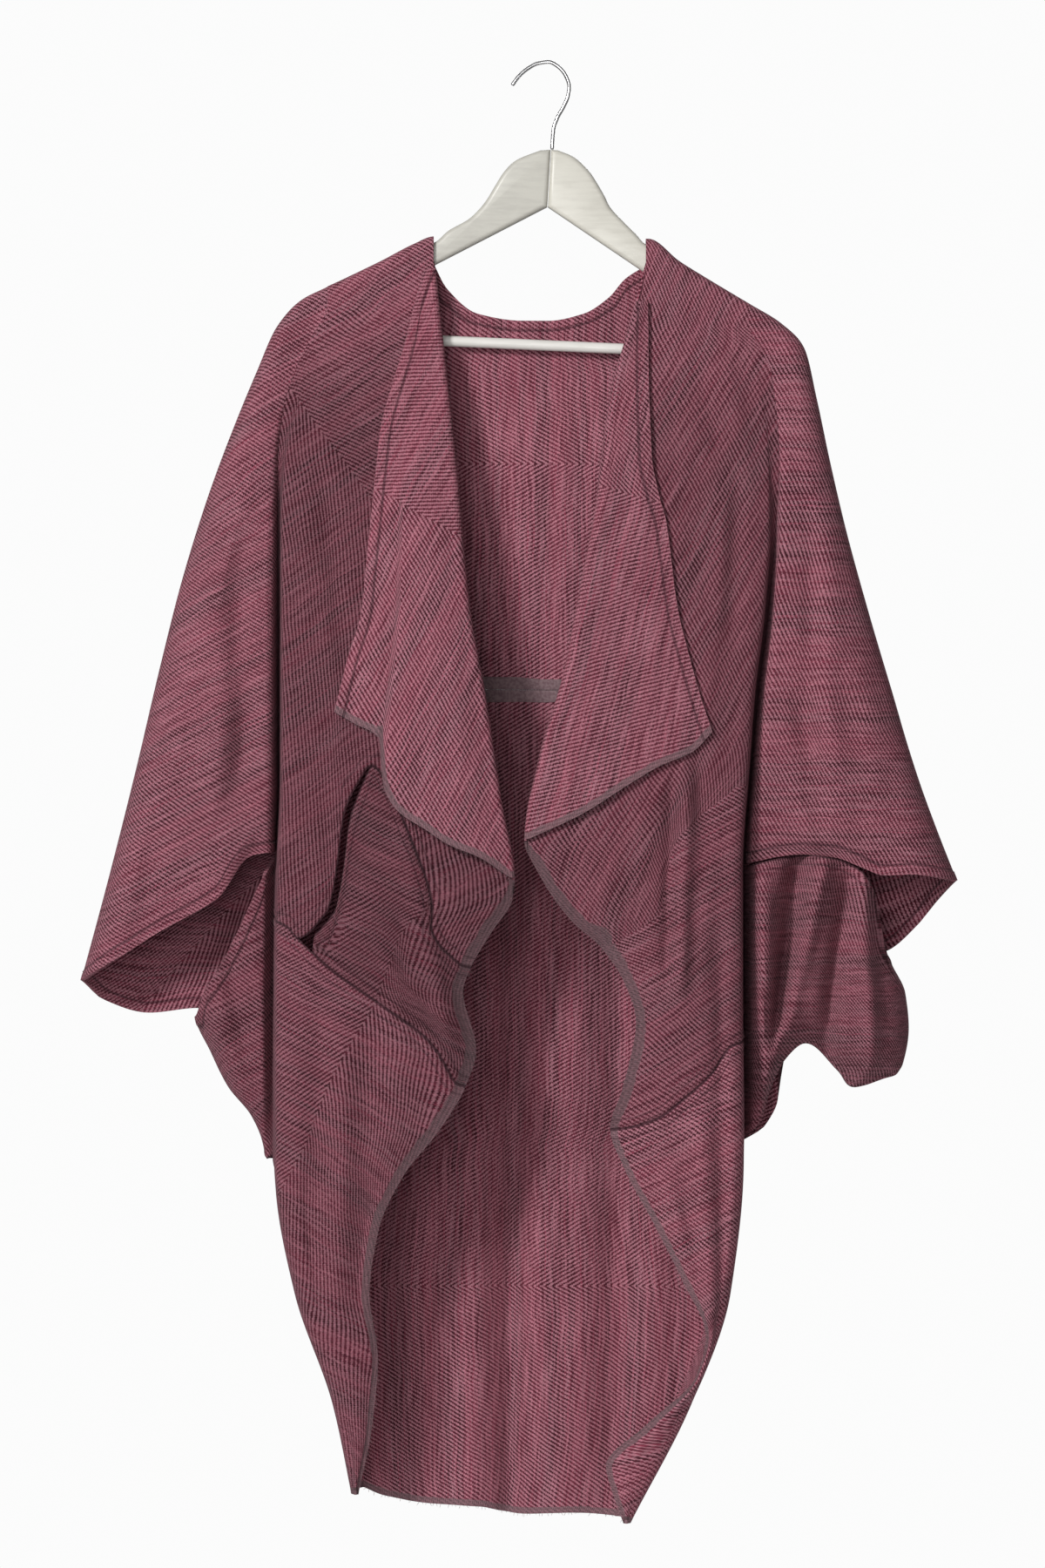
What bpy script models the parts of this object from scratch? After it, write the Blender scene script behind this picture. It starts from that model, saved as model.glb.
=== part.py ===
"""A kimono coat of handwoven herringbone twill on a wooden hanger.

The origin is where the hanger's hook hangs. X runs across the coat, -Y faces the front and +Z is up.
Sizes are in millimetres and become metres when a mesh is made. The cloth is a wall of even thickness.
Each sheet of cloth is one smooth surface worked out from short tables of its sections, and the pieces
that are sewn from it are cut out along the seam lines, with a narrow gap at each seam.
"""

import math
from functools import partial
from types import SimpleNamespace

import bmesh
import bpy
import numpy as np

MM = 0.001
WALL = 2.0
SEAM_GAP = 0.32
ROLL_GAP = 1.0

# Cloth round the hanger: how far its middle stands off the hanger's own middle plane.
SHOULDER_RADIUS = 8.8
SHOULDER_DROP = 20.0

# The left and right front: the side fold turns back into the coat over this width.
FOLD_TURN = 8.0
ROLL_REACH = 3.0

SHOULDER_ANGLES = (90, 55, 25, 0, -25, -55, -90)
NECK_LEFT, NECK_RIGHT = -99.0, 85.0
ARM_SEAM_LEFT, ARM_SEAM_RIGHT = -190.0, 172.0

# Below the side pieces a front wraps round to the back over this height.
WRAP_LENGTH = 24.0

# A seam column of the fronts faces this way where it meets the back.
CORNER_ACROSS, CORNER_OUT = 0.55, 0.83

# How far a lapel lies in front of its front, and how much more of it near the roll.
LAPEL_STAND_OFF = 4.5
LAPEL_STEP = 5.0

# A sleeve or side piece leaves its valley over this width; a side piece closes over this height.
SLEEVE_VALLEY = 9.0
SIDE_CLOSING = 40.0
SIDE_MIDDLE = 14.0

# Where the columns and rows of the sheets lie, as shares of their widths and lengths.
STATION_STEP = 0.01
SIDE_STATIONS = (-1, -0.75, -0.5, -0.25)
LOWER_SIDE_STATIONS = (-1, -0.9, -0.75, -0.5, -0.25)
ROLL_STATIONS = (1, 1.5, 2)
LAPEL_STATIONS = (-1, -0.5, 0, 0.14, 0.3, 0.45, 0.58, 0.66, 0.82, 1)
LAPEL_ROWS = (0, 0.025, 0.05, 0.085, 0.12, 0.2, 0.3, 0.4, 0.5, 0.6, 0.7, 0.8, 0.88, 0.95, 1)
BACK_STATIONS = (0, 0.06, 0.13, 0.19, 0.25, 0.3, 0.36, 0.42, 0.47, 0.53, 0.58, 0.64, 0.7, 0.76, 0.83, 0.92, 1)
VALLEY_STEPS = ((0, 0), (0.25, 0.5), (0.5, 0.88))
SLEEVE_STEPS = (0, 0.25, 0.5, 0.75)
TURN_ANGLES = (0, 30, 60)
SIDE_PIECE_STATIONS = (
    0, 0.035, 0.075, 0.15, 0.26, 0.38, 0.5, 0.62, 0.74, 0.86, 0.95, 1, 1.05, 1.14, 1.3, 1.6, 2,
)
SIDE_ROWS = (0, 0.12, 0.25, 0.4, 0.55, 0.7, 0.82, 0.92, 1)

# Levels of the rows where pieces meet, so that both sides of a seam have the same points.
LEFT_WRAP_LEVELS = (-962, -1000, -1040, -1080, -1120, -1160, -1195)
RIGHT_WRAP_LEVELS = (-945, -985, -1030, -1075, -1120, -1165, -1210)
BACK_LEFT_LEVELS = (-620, -720, -820, -880, -936) + LEFT_WRAP_LEVELS
BACK_RIGHT_LEVELS = (-650, -766, -830, -890, -915) + RIGHT_WRAP_LEVELS

# The hanger: two wooden halves that meet below the hook, a rail between them and the wire hook.
WOOD_HALF = 5.8
WOOD_BEVEL = 2.5
RAIL_RADIUS = 4.6
WIRE_RADIUS = 1.7
ARM_BELOW_CLOTH = 3.6
JOINT_TOP, JOINT_BOTTOM = (2.0, -73.5), (-1.0, -123.0)
ARM_LEFT_STEPS = (-215, -205, -190, -160, -130, -110)
ARM_RIGHT_STEPS = (96, 115, 140, 165, 185, 199)
LEFT_NECK = (
    (-97.5, -153), (-86, -143), (-70, -134), (-60, -125), (-53, -116), (-47, -106), (-38, -92), (-27, -82),
    (-7, -74),
)
RIGHT_NECK = (
    (8, -74), (22, -80), (34, -91), (41, -101), (48, -113), (53, -123), (62, -133), (75, -146), (83.5, -155),
)
LEFT_UNDERSIDE = ((-100, -174), (-150, -198), (-202, -226), (-202, -240), (-211, -241), (-217, -229))
RIGHT_UNDERSIDE = ((204, -243), (200, -256), (190, -257), (190, -243), (140, -209), (82, -179))
RAIL_LEFT = (-201.7, -233.0)
RAIL_RIGHT = (189.7, -250.5)
HOOK = (
    (-31.5, -18), (-25.5, -10), (-18, -3.5), (-9, 1), (0, 2.2), (8.5, -2), (15, -10), (17.8, -19),
    (16.8, -27), (13, -36), (7.5, -46), (4.3, -56), (3, -73.2),
)
HOOK_STEPS = 45

COLOURS = {
    "cloth": (0.27, 0.12, 0.13, 1.0),
    "wood": (0.70, 0.67, 0.62, 1.0),
    "rail": (0.80, 0.78, 0.74, 1.0),
    "chrome": (0.75, 0.75, 0.76, 1.0),
}


def smooth(pairs):
    """A smooth function through (level, value) pairs that never overshoots them."""
    levels, values = np.array(sorted(pairs), float).T
    steps = np.diff(levels)
    slopes = np.diff(values) / steps
    tangents = np.zeros_like(values)
    product = slopes[:-1] * slopes[1:]
    total = slopes[:-1] + slopes[1:]
    monotone = product > 0
    tangents[1:-1][monotone] = 2 * product[monotone] / total[monotone]
    tangents[0], tangents[-1] = slopes[0], slopes[-1]

    def value(level):
        level = np.clip(level, levels[0], levels[-1])
        i = np.clip(np.searchsorted(levels, level) - 1, 0, len(steps) - 1)
        t = (level - levels[i]) / steps[i]
        start = values[i] * (1 + 2 * t) * (1 - t) ** 2 + values[i + 1] * t * t * (3 - 2 * t)
        return start + steps[i] * (tangents[i] * t * (1 - t) ** 2 - tangents[i + 1] * t * t * (1 - t))

    return value


def table(names, rows):
    """A short table as named smooth functions of its first column."""
    columns = list(zip(*rows))
    named = zip(names.split()[1:], columns[1:])
    return SimpleNamespace(**{name: smooth(zip(columns[0], column)) for name, column in named})


# The shoulder line, seen from the front.
SHOULDER = smooth([
    (-238, -240), (-226, -215), (-206, -200), (-175, -185), (-144, -170), (-115, -155), (-99, -149),
    (86, -151), (112, -170), (136, -185), (161, -200), (186, -215), (208, -230), (222, -250),
])

# The neck hem at the back.
NECK_HEM = smooth([
    (-99, -171), (-88, -192), (-61, -214), (-22, -220), (0, -220), (30, -214), (52, -200), (66, -184),
    (85, -172),
])

# Front edge of the left front: the roll of the lapel, then three free edges down to the hem.
LEFT_EDGE = smooth([
    (-150, -101), (-234, -92), (-334, -81), (-470, -68), (-537, -56), (-634, -41), (-700, -30),
    (-717, -31), (-746, -49), (-775, -66), (-796, -73), (-846, -62), (-877, -71),
    (-915, -94), (-953, -124), (-999, -145), (-1055, -153), (-1110, -146), (-1167, -151), (-1227, -163),
])
RIGHT_EDGE = smooth([
    (-152, 87), (-179, 82), (-236, 67), (-278, 55), (-338, 46), (-380, 41), (-470, 24), (-526, 13),
    (-594, -7), (-668, -20), (-699, -7), (-737, 20), (-757, 43), (-788, 64), (-821, 74), (-877, 63),
    (-912, 52), (-946, 64), (-995, 90), (-1045, 115), (-1090, 134), (-1125, 126), (-1167, 84),
    (-1203, 49), (-1227, 55), (-1253, 64),
])

# Each front by level: the inner line where it meets the sleeve or the side, its side fold, its depths.
LEFT = table("z x_inner y_inner x_fold y_fold y_middle y_edge", [
    (-212, -190, -8.8, -178, -8.8, -8.8, -8.8),
    (-262, -217, -15, -205, -16, -17, -14),
    (-300, -228, -20, -216, -22, -24, -20),
    (-345, -233, -20, -226, -29, -31, -26),
    (-400, -233, -10, -229, -36, -38, -32),
    (-470, -233, -4, -229, -43, -46, -40),
    (-610, -233, 4, -229, -57, -62, -54),
    (-720, -237, 8, -233, -66, -74, -62),
    (-860, -238, 8, -234, -72, -82, -70),
    (-940, -238, 10, -234, -68, -76, -70),
    (-965, -238, 10, -233, -66, -74, -68),
    (-1055, -238, 10, -217, -58, -64, -58),
    (-1150, -238, 10, -185, -44, -48, -44),
    (-1227, -238, 10, -169, -30, -33, -30),
])
RIGHT = table("z x_inner y_inner x_fold y_fold y_middle y_edge", [
    (-227, 172, -8.8, 160, -8.8, -8.8, -8.8),
    (-270, 192, -16, 180, -17, -18, -12.8),
    (-340, 198, -24, 188, -28, -30, -26),
    (-400, 195, -20, 189, -36, -38, -33),
    (-475, 189, -6, 184, -44, -47, -42),
    (-540, 181, 0, 176, -50, -55, -50),
    (-604, 175, 3, 171, -56, -62, -56),
    (-690, 169, 6, 165, -64, -72, -66),
    (-800, 168, 8, 165, -72, -82, -76),
    (-915, 168, 10, 166, -72, -82, -78),
    (-940, 168, 10, 166, -70, -78, -76),
    (-1055, 168, 10, 155, -58, -64, -62),
    (-1150, 168, 10, 122, -46, -50, -46),
    (-1253, 168, 10, 70, -28, -30, -28),
])

# The side fold by share of its turn: how much of the inner line's offset is left, how much of the front's
# offset is reached, and the share of the depth reached.
FOLD_INNER = smooth([(0, 1), (0.1, 0.62), (0.25, 0.22), (0.5, 0), (1, 0)])
FOLD_FRONT = smooth([(0, 0), (0.5, 0), (0.75, 0.3), (1, 1)])
FOLD_DEPTH = smooth([(0, 0), (0.1, 0.07), (0.25, 0.30), (0.5, 0.68), (0.75, 0.93), (1, 1)])

# Radius of the lapel's roll by level.
LEFT_ROLL = smooth([(-170, 0), (-178, 2.4), (-200, 4.5), (-400, 6), (-640, 6), (-700, 3.2), (-716, 0)])
RIGHT_ROLL = smooth([
    (-170, 0), (-200, 2.6), (-240, 4.2), (-300, 5.2), (-400, 6), (-620, 6), (-664, 3.2), (-680, 0),
])

# Outer edge of each lapel by level, run on below its corner.
LEFT_LAPEL_EDGE = smooth([
    (-178, -107), (-211, -116), (-240, -123), (-277, -134), (-315, -144), (-351, -148), (-431, -156),
    (-472, -160), (-517, -173), (-558, -183), (-700, -220),
])
RIGHT_LAPEL_EDGE = smooth([
    (-200, 85), (-278, 87), (-351, 88), (-394, 101), (-470, 110), (-504, 118), (-550, 131), (-575, 139),
    (-700, 175),
])

# Lower edge of each lapel: share of the lapel's width, level.
LEFT_LAPEL_END = smooth([
    (0, -699), (0.13, -682), (0.27, -671), (0.38, -658), (0.51, -644), (0.60, -625), (0.67, -580),
    (0.845, -568), (1, -558),
])
RIGHT_LAPEL_END = smooth([(0, -666), (0.23, -646), (0.45, -622), (0.65, -604), (0.85, -592), (1, -575)])

# Seam lines of the fronts: share of the way from the side fold to the front edge, level.
LEFT_UPPER_END = smooth([
    (-1, -733), (0, -740), (0.07, -751), (0.20, -727), (0.233, -687), (0.265, -648), (0.33, -622),
    (0.417, -604), (0.48, -616), (0.72, -744), (0.87, -765), (1, -775), (2, -776),
])
LEFT_LOWER_START = smooth([
    (-1, -733), (0, -740), (0.07, -751), (0.23, -774), (0.5, -802), (0.72, -829), (1, -876), (2, -877),
])
RIGHT_UPPER_END = smooth([
    (-1, -616), (0, -622), (0.06, -630), (0.25, -661), (0.36, -700), (0.465, -731), (0.7, -746), (1, -757),
    (2, -758),
])
RIGHT_LOWER_START = smooth([
    (-1, -836), (0, -842), (0.23, -867), (0.44, -886), (0.65, -904), (0.9, -912), (1, -913), (2, -913.5),
])
LEFT_MIDDLE_START = 0.14
POCKET_TOP = 0.43
POCKET_SHIFT = 0.036
POCKET_DROP = 3.0

# The back by level: depth at its sides, and how much fuller it is in the middle.
BACK = table("z y_side fullness", [
    (-160, 8.8, 0), (-212, 8.8, 0.5), (-300, 16, 2), (-400, 22, 4), (-540, 28, 6), (-700, 34, 9),
    (-850, 37, 12), (-1000, 38, 13), (-1100, 37, 12), (-1253, 31, 9),
])
BACK_LEFT = smooth([
    (-206, -190), (-212, -190), (-262, -217), (-300, -228), (-345, -233), (-940, -234), (-965, -225),
    (-1055, -209), (-1150, -176), (-1227, -160),
])
BACK_RIGHT = smooth([
    (-206, 172), (-227, 172), (-270, 192), (-340, 199), (-890, 199), (-915, 188), (-940, 154),
    (-1055, 145), (-1150, 112), (-1253, 58),
])
BACK_SEAM = (-536, -540)
HEM = smooth([
    (-160, -1228), (-141, -1236), (-94, -1243), (-60, -1245), (-28, -1252), (19, -1250), (62, -1253),
])

# Sleeves, a row for each section from the shoulder to the cuff: the line where the front layer starts,
# the same for the back layer, the outer edge, and the depth of both layers.
LEFT_SLEEVE = table("row x_outer z_outer y_front y_outer y_back", [
    (0, -190, -192.2, -8.8, 0, 8.8),
    (1, -213, -204, -10, 0, 9.5),
    (2, -233, -226, -15, 0, 12),
    (3, -251, -266, -22, 0, 16),
    (4, -270, -312, -28, 0, 20),
    (5, -292, -371, -32, 0, 24),
    (6, -315, -445, -35, 0, 27),
    (7, -334, -520, -37, 0, 30),
    (8, -354, -605, -37, 1, 33),
    (9, -378, -700, -34, 3, 35),
    (10, -402, -789, -28, 5, 36),
])
RIGHT_SLEEVE = table("row x_outer z_outer y_front y_outer y_back", [
    (0, 172, -206.5, -8.8, 0, 8.8),
    (1, 200, -223.8, -11, 0, 10),
    (2, 219, -244, -16, 0, 14),
    (3, 230, -288, -22, 0, 18),
    (4, 241, -340, -27, 0, 21),
    (5, 255, -400, -31, 0, 24),
    (6, 275, -473, -35, 0, 27),
    (7, 296, -544, -37, 0, 30),
    (8, 308, -585, -37, 1, 32),
    (9, 320, -622, -36, 2, 33),
    (10, 334, -660, -34, 3, 34),
    (11, 351, -703, -32, 5, 35),
])

# How far the end of each sleeve layer hangs below its straight line: share of the width, drop.
LEFT_CUFF_FRONT = smooth([(0, 0), (0.15, -10), (0.3, 8), (0.6, 3), (1, 0)])
LEFT_CUFF_BACK = smooth([(0, 0), (0.4, 6), (0.72, 19), (0.9, 14), (1, 0)])
RIGHT_CUFF_FRONT = smooth([(0, 0), (0.16, -9), (0.36, -18), (0.5, -11), (0.64, 0), (0.8, -3), (1, 0)])
RIGHT_CUFF_BACK = smooth([(0, 0), (0.3, 16), (0.62, 37), (0.8, 25), (0.9, 12), (1, 0)])

# Side pieces below the sleeves by level: how far out they reach, and the depth of the front face.
LEFT_SIDE = table("z x_outer y_face", [
    (-680, -305, -14),
    (-800, -305, -12),
    (-820, -304, -10),
    (-850, -291, -8),
    (-880, -276, -5),
    (-905, -256, 0),
    (-925, -247, 5),
    (-943, -243, 9),
])
RIGHT_SIDE = table("z x_outer y_face", [
    (-672, 292, -34),
    (-766, 293, -38),
    (-800, 307, -38),
    (-830, 310, -34),
    (-861, 305, -26),
    (-885, 285, -16),
    (-928, 270, -6),
])

# Start and end of each side piece: position round it (0 inner line, 1 outer fold, 2 back), level.
LEFT_SIDE_START = smooth([
    (0, -680), (0.2, -709), (0.42, -743), (0.65, -774), (0.85, -797), (1, -820), (2, -820.5),
])
LEFT_SIDE_END = smooth([(0, -940), (1, -943), (2, -944)])
RIGHT_SIDE_START = smooth([
    (0, -690), (0.2, -681.7), (0.36, -676), (0.55, -677), (0.68, -689), (0.78, -698), (0.9, -716),
    (1, -768), (2, -768.5),
])
RIGHT_SIDE_END = smooth([
    (0, -926), (0.12, -912), (0.24, -860), (0.38, -843), (0.6, -866), (0.8, -881), (1, -872), (1.3, -884),
    (1.7, -888), (2, -892),
])

# The largest folds, each a soft ridge (lift above 0, towards the viewer) or trough along a line.
FRONT_FOLDS = [
    # x_top, z_top, x_bottom, z_bottom, half_width, lift
    (-131, -640, -88, -815, 10, 7),
    (-150, -780, -160, -1040, 14, -6),
    (-196, -760, -200, -1000, 11, -5),
    (118, -600, 112, -760, 9, 8),
    (146, -700, 150, -1060, 7, -6),
    (128, -870, 140, -1080, 8, 4),
]
BACK_FOLDS = [
    (-25, -700, -32, -1250, 20, 8),
    (-60, -880, -66, -1250, 16, -6),
    (70, -640, 55, -1250, 18, -7),
    (-150, -560, -120, -1200, 20, -6),
    (130, -560, 100, -1150, 18, 6),
]
SIDE_FOLDS = [
    (184, -680, 186, -900, 9, 14),
    (214, -690, 216, -850, 10, -16),
    (240, -684, 197, -820, 9, 10),
    (262, -700, 275, -860, 12, 8),
]


def fold_lift(folds, x, z):
    """How far a point stands out at the folds, which fade in and out along their length."""
    lift = np.zeros(np.broadcast(x, z).shape)
    for x_top, z_top, x_bottom, z_bottom, half_width, height in folds:
        along = (z_top - z) / (z_top - z_bottom)
        middle = x_top + (x_bottom - x_top) * along
        fade = np.clip(along * 4, 0, 1) * np.clip((1.25 - along) * 4, 0, 1)
        fade = fade * fade * (3 - 2 * fade)
        lift = lift + height * fade * np.exp(-(((x - middle) / half_width) ** 2))
    return lift


def front_flat_depth(side, t, x, z):
    """Depth of a front at share t from its side fold to its edge: a parabola with the folds on it."""
    from_fold = side.y_fold(z) * (1 - t) * (1 - 2 * t)
    from_middle = side.y_middle(z) * 4 * t * (1 - t)
    from_edge = side.y_edge(z) * t * (2 * t - 1)
    near_sides = np.clip(t * 5, 0, 1) * np.clip((1 - t) * 8, 0, 1)
    return from_fold + from_middle + from_edge - fold_lift(FRONT_FOLDS, x, z) * near_sides


def inner_line(front, z):
    """The inner line of a front: the valley beside it, and below the side piece the back's side."""
    wrapped = np.clip((front.wrap_from + WRAP_LENGTH / 2 - z) / WRAP_LENGTH, 0, 1)
    wrapped = wrapped * wrapped * (3 - 2 * wrapped)
    side = front.sections
    x = side.x_inner(z) + (front.back_side(z) - side.x_inner(z)) * wrapped
    y = side.y_inner(z) + (BACK.y_side(z) - side.y_inner(z)) * wrapped
    return x, y


def front_point(front, t, z):
    """A point of a front: t is -1 to 0 round the side fold, 0 to 1 across it and 1 to 2 round the roll."""
    side = front.sections
    x_fold, x_edge = side.x_fold(z), front.edge(z)
    turn = np.minimum(FOLD_TURN, 0.45 * np.abs(x_edge - x_fold))
    x_start = x_fold + front.inward * turn
    radius = front.roll(z)
    reach = np.minimum(np.maximum(radius, ROLL_REACH), 0.3 * np.abs(x_edge - x_fold))
    x_end = x_edge - front.inward * reach
    across = np.clip(t, 0, 1)
    x_flat = x_start + (x_end - x_start) * across
    y_flat = front_flat_depth(side, across, x_flat, z)
    turned = np.clip(t + 1, 0, 1)
    x_inner, y_inner = inner_line(front, z)
    x_turn = x_fold + (x_inner - x_fold) * FOLD_INNER(turned) + (x_start - x_fold) * FOLD_FRONT(turned)
    y_turn = y_inner + (y_flat - y_inner) * FOLD_DEPTH(turned)
    angle = np.clip(t - 1, 0, 1) * math.pi / 2
    x = np.where(t < 0, x_turn, x_flat) + front.inward * reach * np.sin(angle)
    y = np.where(t < 0, y_turn, y_flat) - radius * (1 - np.cos(angle))
    return x, y


def sheet_grid(point, stations, starts, ends, shares):
    """Points and normals of a sheet between two lines across it. Each row's shares run from side to side."""
    grid, normals = [], []
    for share in shares:
        z = starts + (ends - starts) * share
        grid.append(place(point, stations, z))
        across = place(point, stations + STATION_STEP, z) - place(point, stations - STATION_STEP, z)
        down = place(point, stations, z - 1) - place(point, stations, z + 1)
        normals.append(unit(np.cross(down, across)))
    return np.array(grid), np.array(normals)


def place(point, stations, z):
    x, y = point(stations, z)
    return np.stack([x, y, z + 0 * x], 1)


def shares_between(starts, ends, first_levels, last_levels, weights):
    """Each row's share of the way down every column, from the levels wanted at the two outer columns."""
    first = (np.array(first_levels, float) - starts[0]) / (ends[0] - starts[0])
    last = (np.array(last_levels, float) - starts[-1]) / (ends[-1] - starts[-1])
    return [a + (b - a) * weights for a, b in zip(first, last)]


def shoulder_start(front, stations):
    """Where each column of a front leaves the shoulder's turn."""
    t = np.array(stations, float)
    starts = np.full(len(t), -200.0)
    for _ in range(12):
        starts = SHOULDER(front_point(front, t, starts)[0]) - SHOULDER_DROP
    return starts


def shoulder_rows(x, starts):
    """The turn of the cloth over the hanger's arm, from the back to the front."""
    rows = [np.stack([x, np.full_like(x, SHOULDER_RADIUS), starts], 1)]
    for degrees in SHOULDER_ANGLES:
        angle = math.radians(degrees)
        height = SHOULDER(x) - SHOULDER_RADIUS * (1 - math.cos(angle))
        rows.append(np.stack([x, np.full_like(x, SHOULDER_RADIUS * math.sin(angle)), height], 1))
    return np.array(rows)


def back_point(s, z):
    """A point of the back: s is 0 at its left side and 1 at its right side."""
    x = BACK_LEFT(z) + (BACK_RIGHT(z) - BACK_LEFT(z)) * s
    near_sides = np.clip(s * 6, 0, 1) * np.clip((1 - s) * 6, 0, 1)
    y = BACK.y_side(z) + BACK.fullness(z) * 4 * s * (1 - s) - fold_lift(BACK_FOLDS, x, z) * near_sides
    return x, y


def back_top(x):
    over_neck = (x > NECK_LEFT) & (x < NECK_RIGHT)
    return np.where(over_neck, NECK_HEM(x), SHOULDER(x) - SHOULDER_DROP)


def back_line(s, line):
    """Levels at which the columns of the back meet a line given by x."""
    z = np.full(len(s), line(0.0) if line is not back_top else -190.0)
    for _ in range(12):
        z = line(back_point(s, z)[0])
    return z


def sleeve_row(sleeve, row):
    """One section of a sleeve: front layer, turn at the outer edge, back layer."""
    shape = sleeve.shape
    z_front, z_back = sleeve.front_levels[row], sleeve.back_levels[row]
    outer = np.array([float(shape.x_outer(row)), float(shape.z_outer(row))])
    y_outer = float(shape.y_outer(row))
    hang = max(0.0, row - len(sleeve.front_levels) + 2) ** 2
    points = []
    layers = (
        (float(sleeve.sections.x_inner(z_front)), z_front, float(sleeve.sections.y_inner(z_front)),
         float(shape.y_front(row)), sleeve.cuff_front, 1),
        (float(sleeve.back_side(z_back)), z_back, float(BACK.y_side(z_back)),
         float(shape.y_back(row)), sleeve.cuff_back, -1),
    )
    for x_inner, z_inner, y_inner, y_face, cuff, direction in layers:
        inner = np.array([x_inner, z_inner])
        length = np.linalg.norm(outer - inner)
        turn = min(0.45, abs(y_face - y_outer) / length)
        near = min(SLEEVE_VALLEY / length, 0.3)
        layer = [(share * near, depth, True) for share, depth in VALLEY_STEPS]
        layer += [(near + (1 - turn - near) * step, 1.0, False) for step in SLEEVE_STEPS]
        layer += [(1 - turn + turn * math.sin(a), math.cos(a), False) for a in map(math.radians, TURN_ANGLES)]
        if direction == 1:
            layer.append((1.0, 0.0, False))
        made = []
        for share, depth, in_valley in layer:
            x, z = inner + (outer - inner) * share
            y = y_inner + (y_face - y_inner) * depth if in_valley else y_outer + (y_face - y_outer) * depth
            made.append((x, y, z - float(cuff(share)) * hang))
        points += made[::direction]
    return points


def side_point(piece, u, z):
    """A point of a side piece: u is 0 at its inner line, 1 at the outer fold and 2 at the back."""
    shape = piece.shape
    x_outer = shape.x_outer(z)
    from_front = u <= 1
    x_inner = np.where(from_front, piece.sections.x_inner(z), piece.back_side(z))
    share = np.where(from_front, u, 2 - u)
    x = x_inner + (x_outer - x_inner) * share
    y_back = BACK.y_side(z)
    face = np.where(from_front, shape.y_face(z), y_back)
    length = np.abs(x_outer - x_inner) + 1e-6
    turn = np.clip(np.abs(face - SIDE_MIDDLE) / length, 0.1, 0.45)
    beyond = np.clip((share - 1 + turn) / turn, 0, 1)
    y = SIDE_MIDDLE + (face - SIDE_MIDDLE) * np.sqrt(np.clip(1 - beyond**2, 0, 1))
    near = np.clip(share * length / SLEEVE_VALLEY, 0, 1)
    near = near * near * (3 - 2 * near)
    y_start = np.where(from_front, piece.sections.y_inner(z), y_back)
    y = y_start + (y - y_start) * near
    lift = fold_lift(piece.folds, x, z) * np.clip(share * length / 14, 0, 1) * np.clip((1 - share) * 5, 0, 1)
    y = y - np.where(from_front, lift, 0)
    below = np.clip(1 - (z - piece.end(u)) / SIDE_CLOSING, 0, 1)
    closing = 0.75 * below * below * np.clip(share * length / 20, 0, 1)
    return x, y + (SIDE_MIDDLE + 6 - y) * closing


def lapel_point(front, w, z):
    """A point of a lapel: w is -1 to 0 round the second half of the roll and 0 to 1 out to its edge."""
    x_edge = front.edge(z)
    radius = front.roll(z)
    reach = np.maximum(radius, ROLL_REACH)
    x_start = x_edge - front.inward * reach
    x_flat = x_start + (front.lapel_edge(z) - x_start) * np.clip(w, 0, 1)
    share = front_share(front, x_flat, z)
    below = front_flat_depth(front.sections, np.clip(share, 0, 1), x_flat, z)
    spread = np.clip(w, 0, 1) ** 0.7
    stand_off = 2 * radius + (LAPEL_STAND_OFF - 2 * radius) * spread
    step = LAPEL_STEP * np.clip((front.lapel_step - w) * 12 + 0.5, 0, 1) * np.clip((-300 - z) / 200, 0, 1)
    y_flat = below - np.maximum(stand_off, 2 * radius * (w < 0.02)) - step * np.clip(w * 6, 0, 1)
    angle = np.clip(-w, 0, 1) * math.pi / 2
    y_edge = front_flat_depth(front.sections, np.ones_like(z), x_start, z)
    x_round = x_start + front.inward * reach * np.sin(angle)
    y_round = y_edge - 2 * radius + radius * (1 - np.cos(angle))
    return np.where(w < 0, x_round, x_flat), np.where(w < 0, y_round, y_flat)


def pocket_mouth(t):
    """Top of the left middle piece: the seam's line, set off from it where the pocket is open."""
    opened = np.clip((POCKET_TOP - t) * 10, 0, 1)
    return LEFT_UPPER_END(t - POCKET_SHIFT * opened) - POCKET_DROP * opened


def front_share(front, x, z):
    """The share of the way across a front at which x lies."""
    x_start = front_point(front, np.zeros_like(x), z)[0]
    x_end = front_point(front, np.ones_like(x), z)[0]
    return (x - x_start) / (x_end - x_start)


def unit(vectors):
    lengths = np.linalg.norm(vectors, axis=-1, keepdims=True)
    return vectors / np.maximum(lengths, 1e-9)


def surface_normals(grid):
    """Normals of a grid of points, square to its rows and columns."""
    return unit(np.cross(np.gradient(grid, axis=0), np.gradient(grid, axis=1)))


def draw_in(grid, normals, sides, gap):
    """Moves the named edges of a grid inwards by half a seam gap, along the cloth and square to the edge."""
    result = grid.copy()
    views = {
        "top": (lambda g: g),
        "bottom": (lambda g: g[::-1]),
        "left": (lambda g: g.transpose(1, 0, 2)),
        "right": (lambda g: g.transpose(1, 0, 2)[::-1]),
    }
    for side in sides:
        source, target, normal = views[side](grid), views[side](result), views[side](normals)[0]
        inward = source[1] - source[0]
        inward = unit(inward - normal * (inward * normal).sum(axis=1, keepdims=True))
        along = unit(np.gradient(source[0], axis=0))
        square = np.linalg.norm(np.cross(inward, along), axis=-1, keepdims=True)
        target[0] += inward * 0.5 * gap / np.maximum(square, 0.3)
    return result


def material(name, colour, roughness, metallic=0.0):
    made = bpy.data.materials.new(name)
    made.use_nodes = True
    shader = made.node_tree.nodes["Principled BSDF"]
    shader.inputs["Base Color"].default_value = colour
    shader.inputs["Roughness"].default_value = roughness
    shader.inputs["Metallic"].default_value = metallic
    return made


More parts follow.
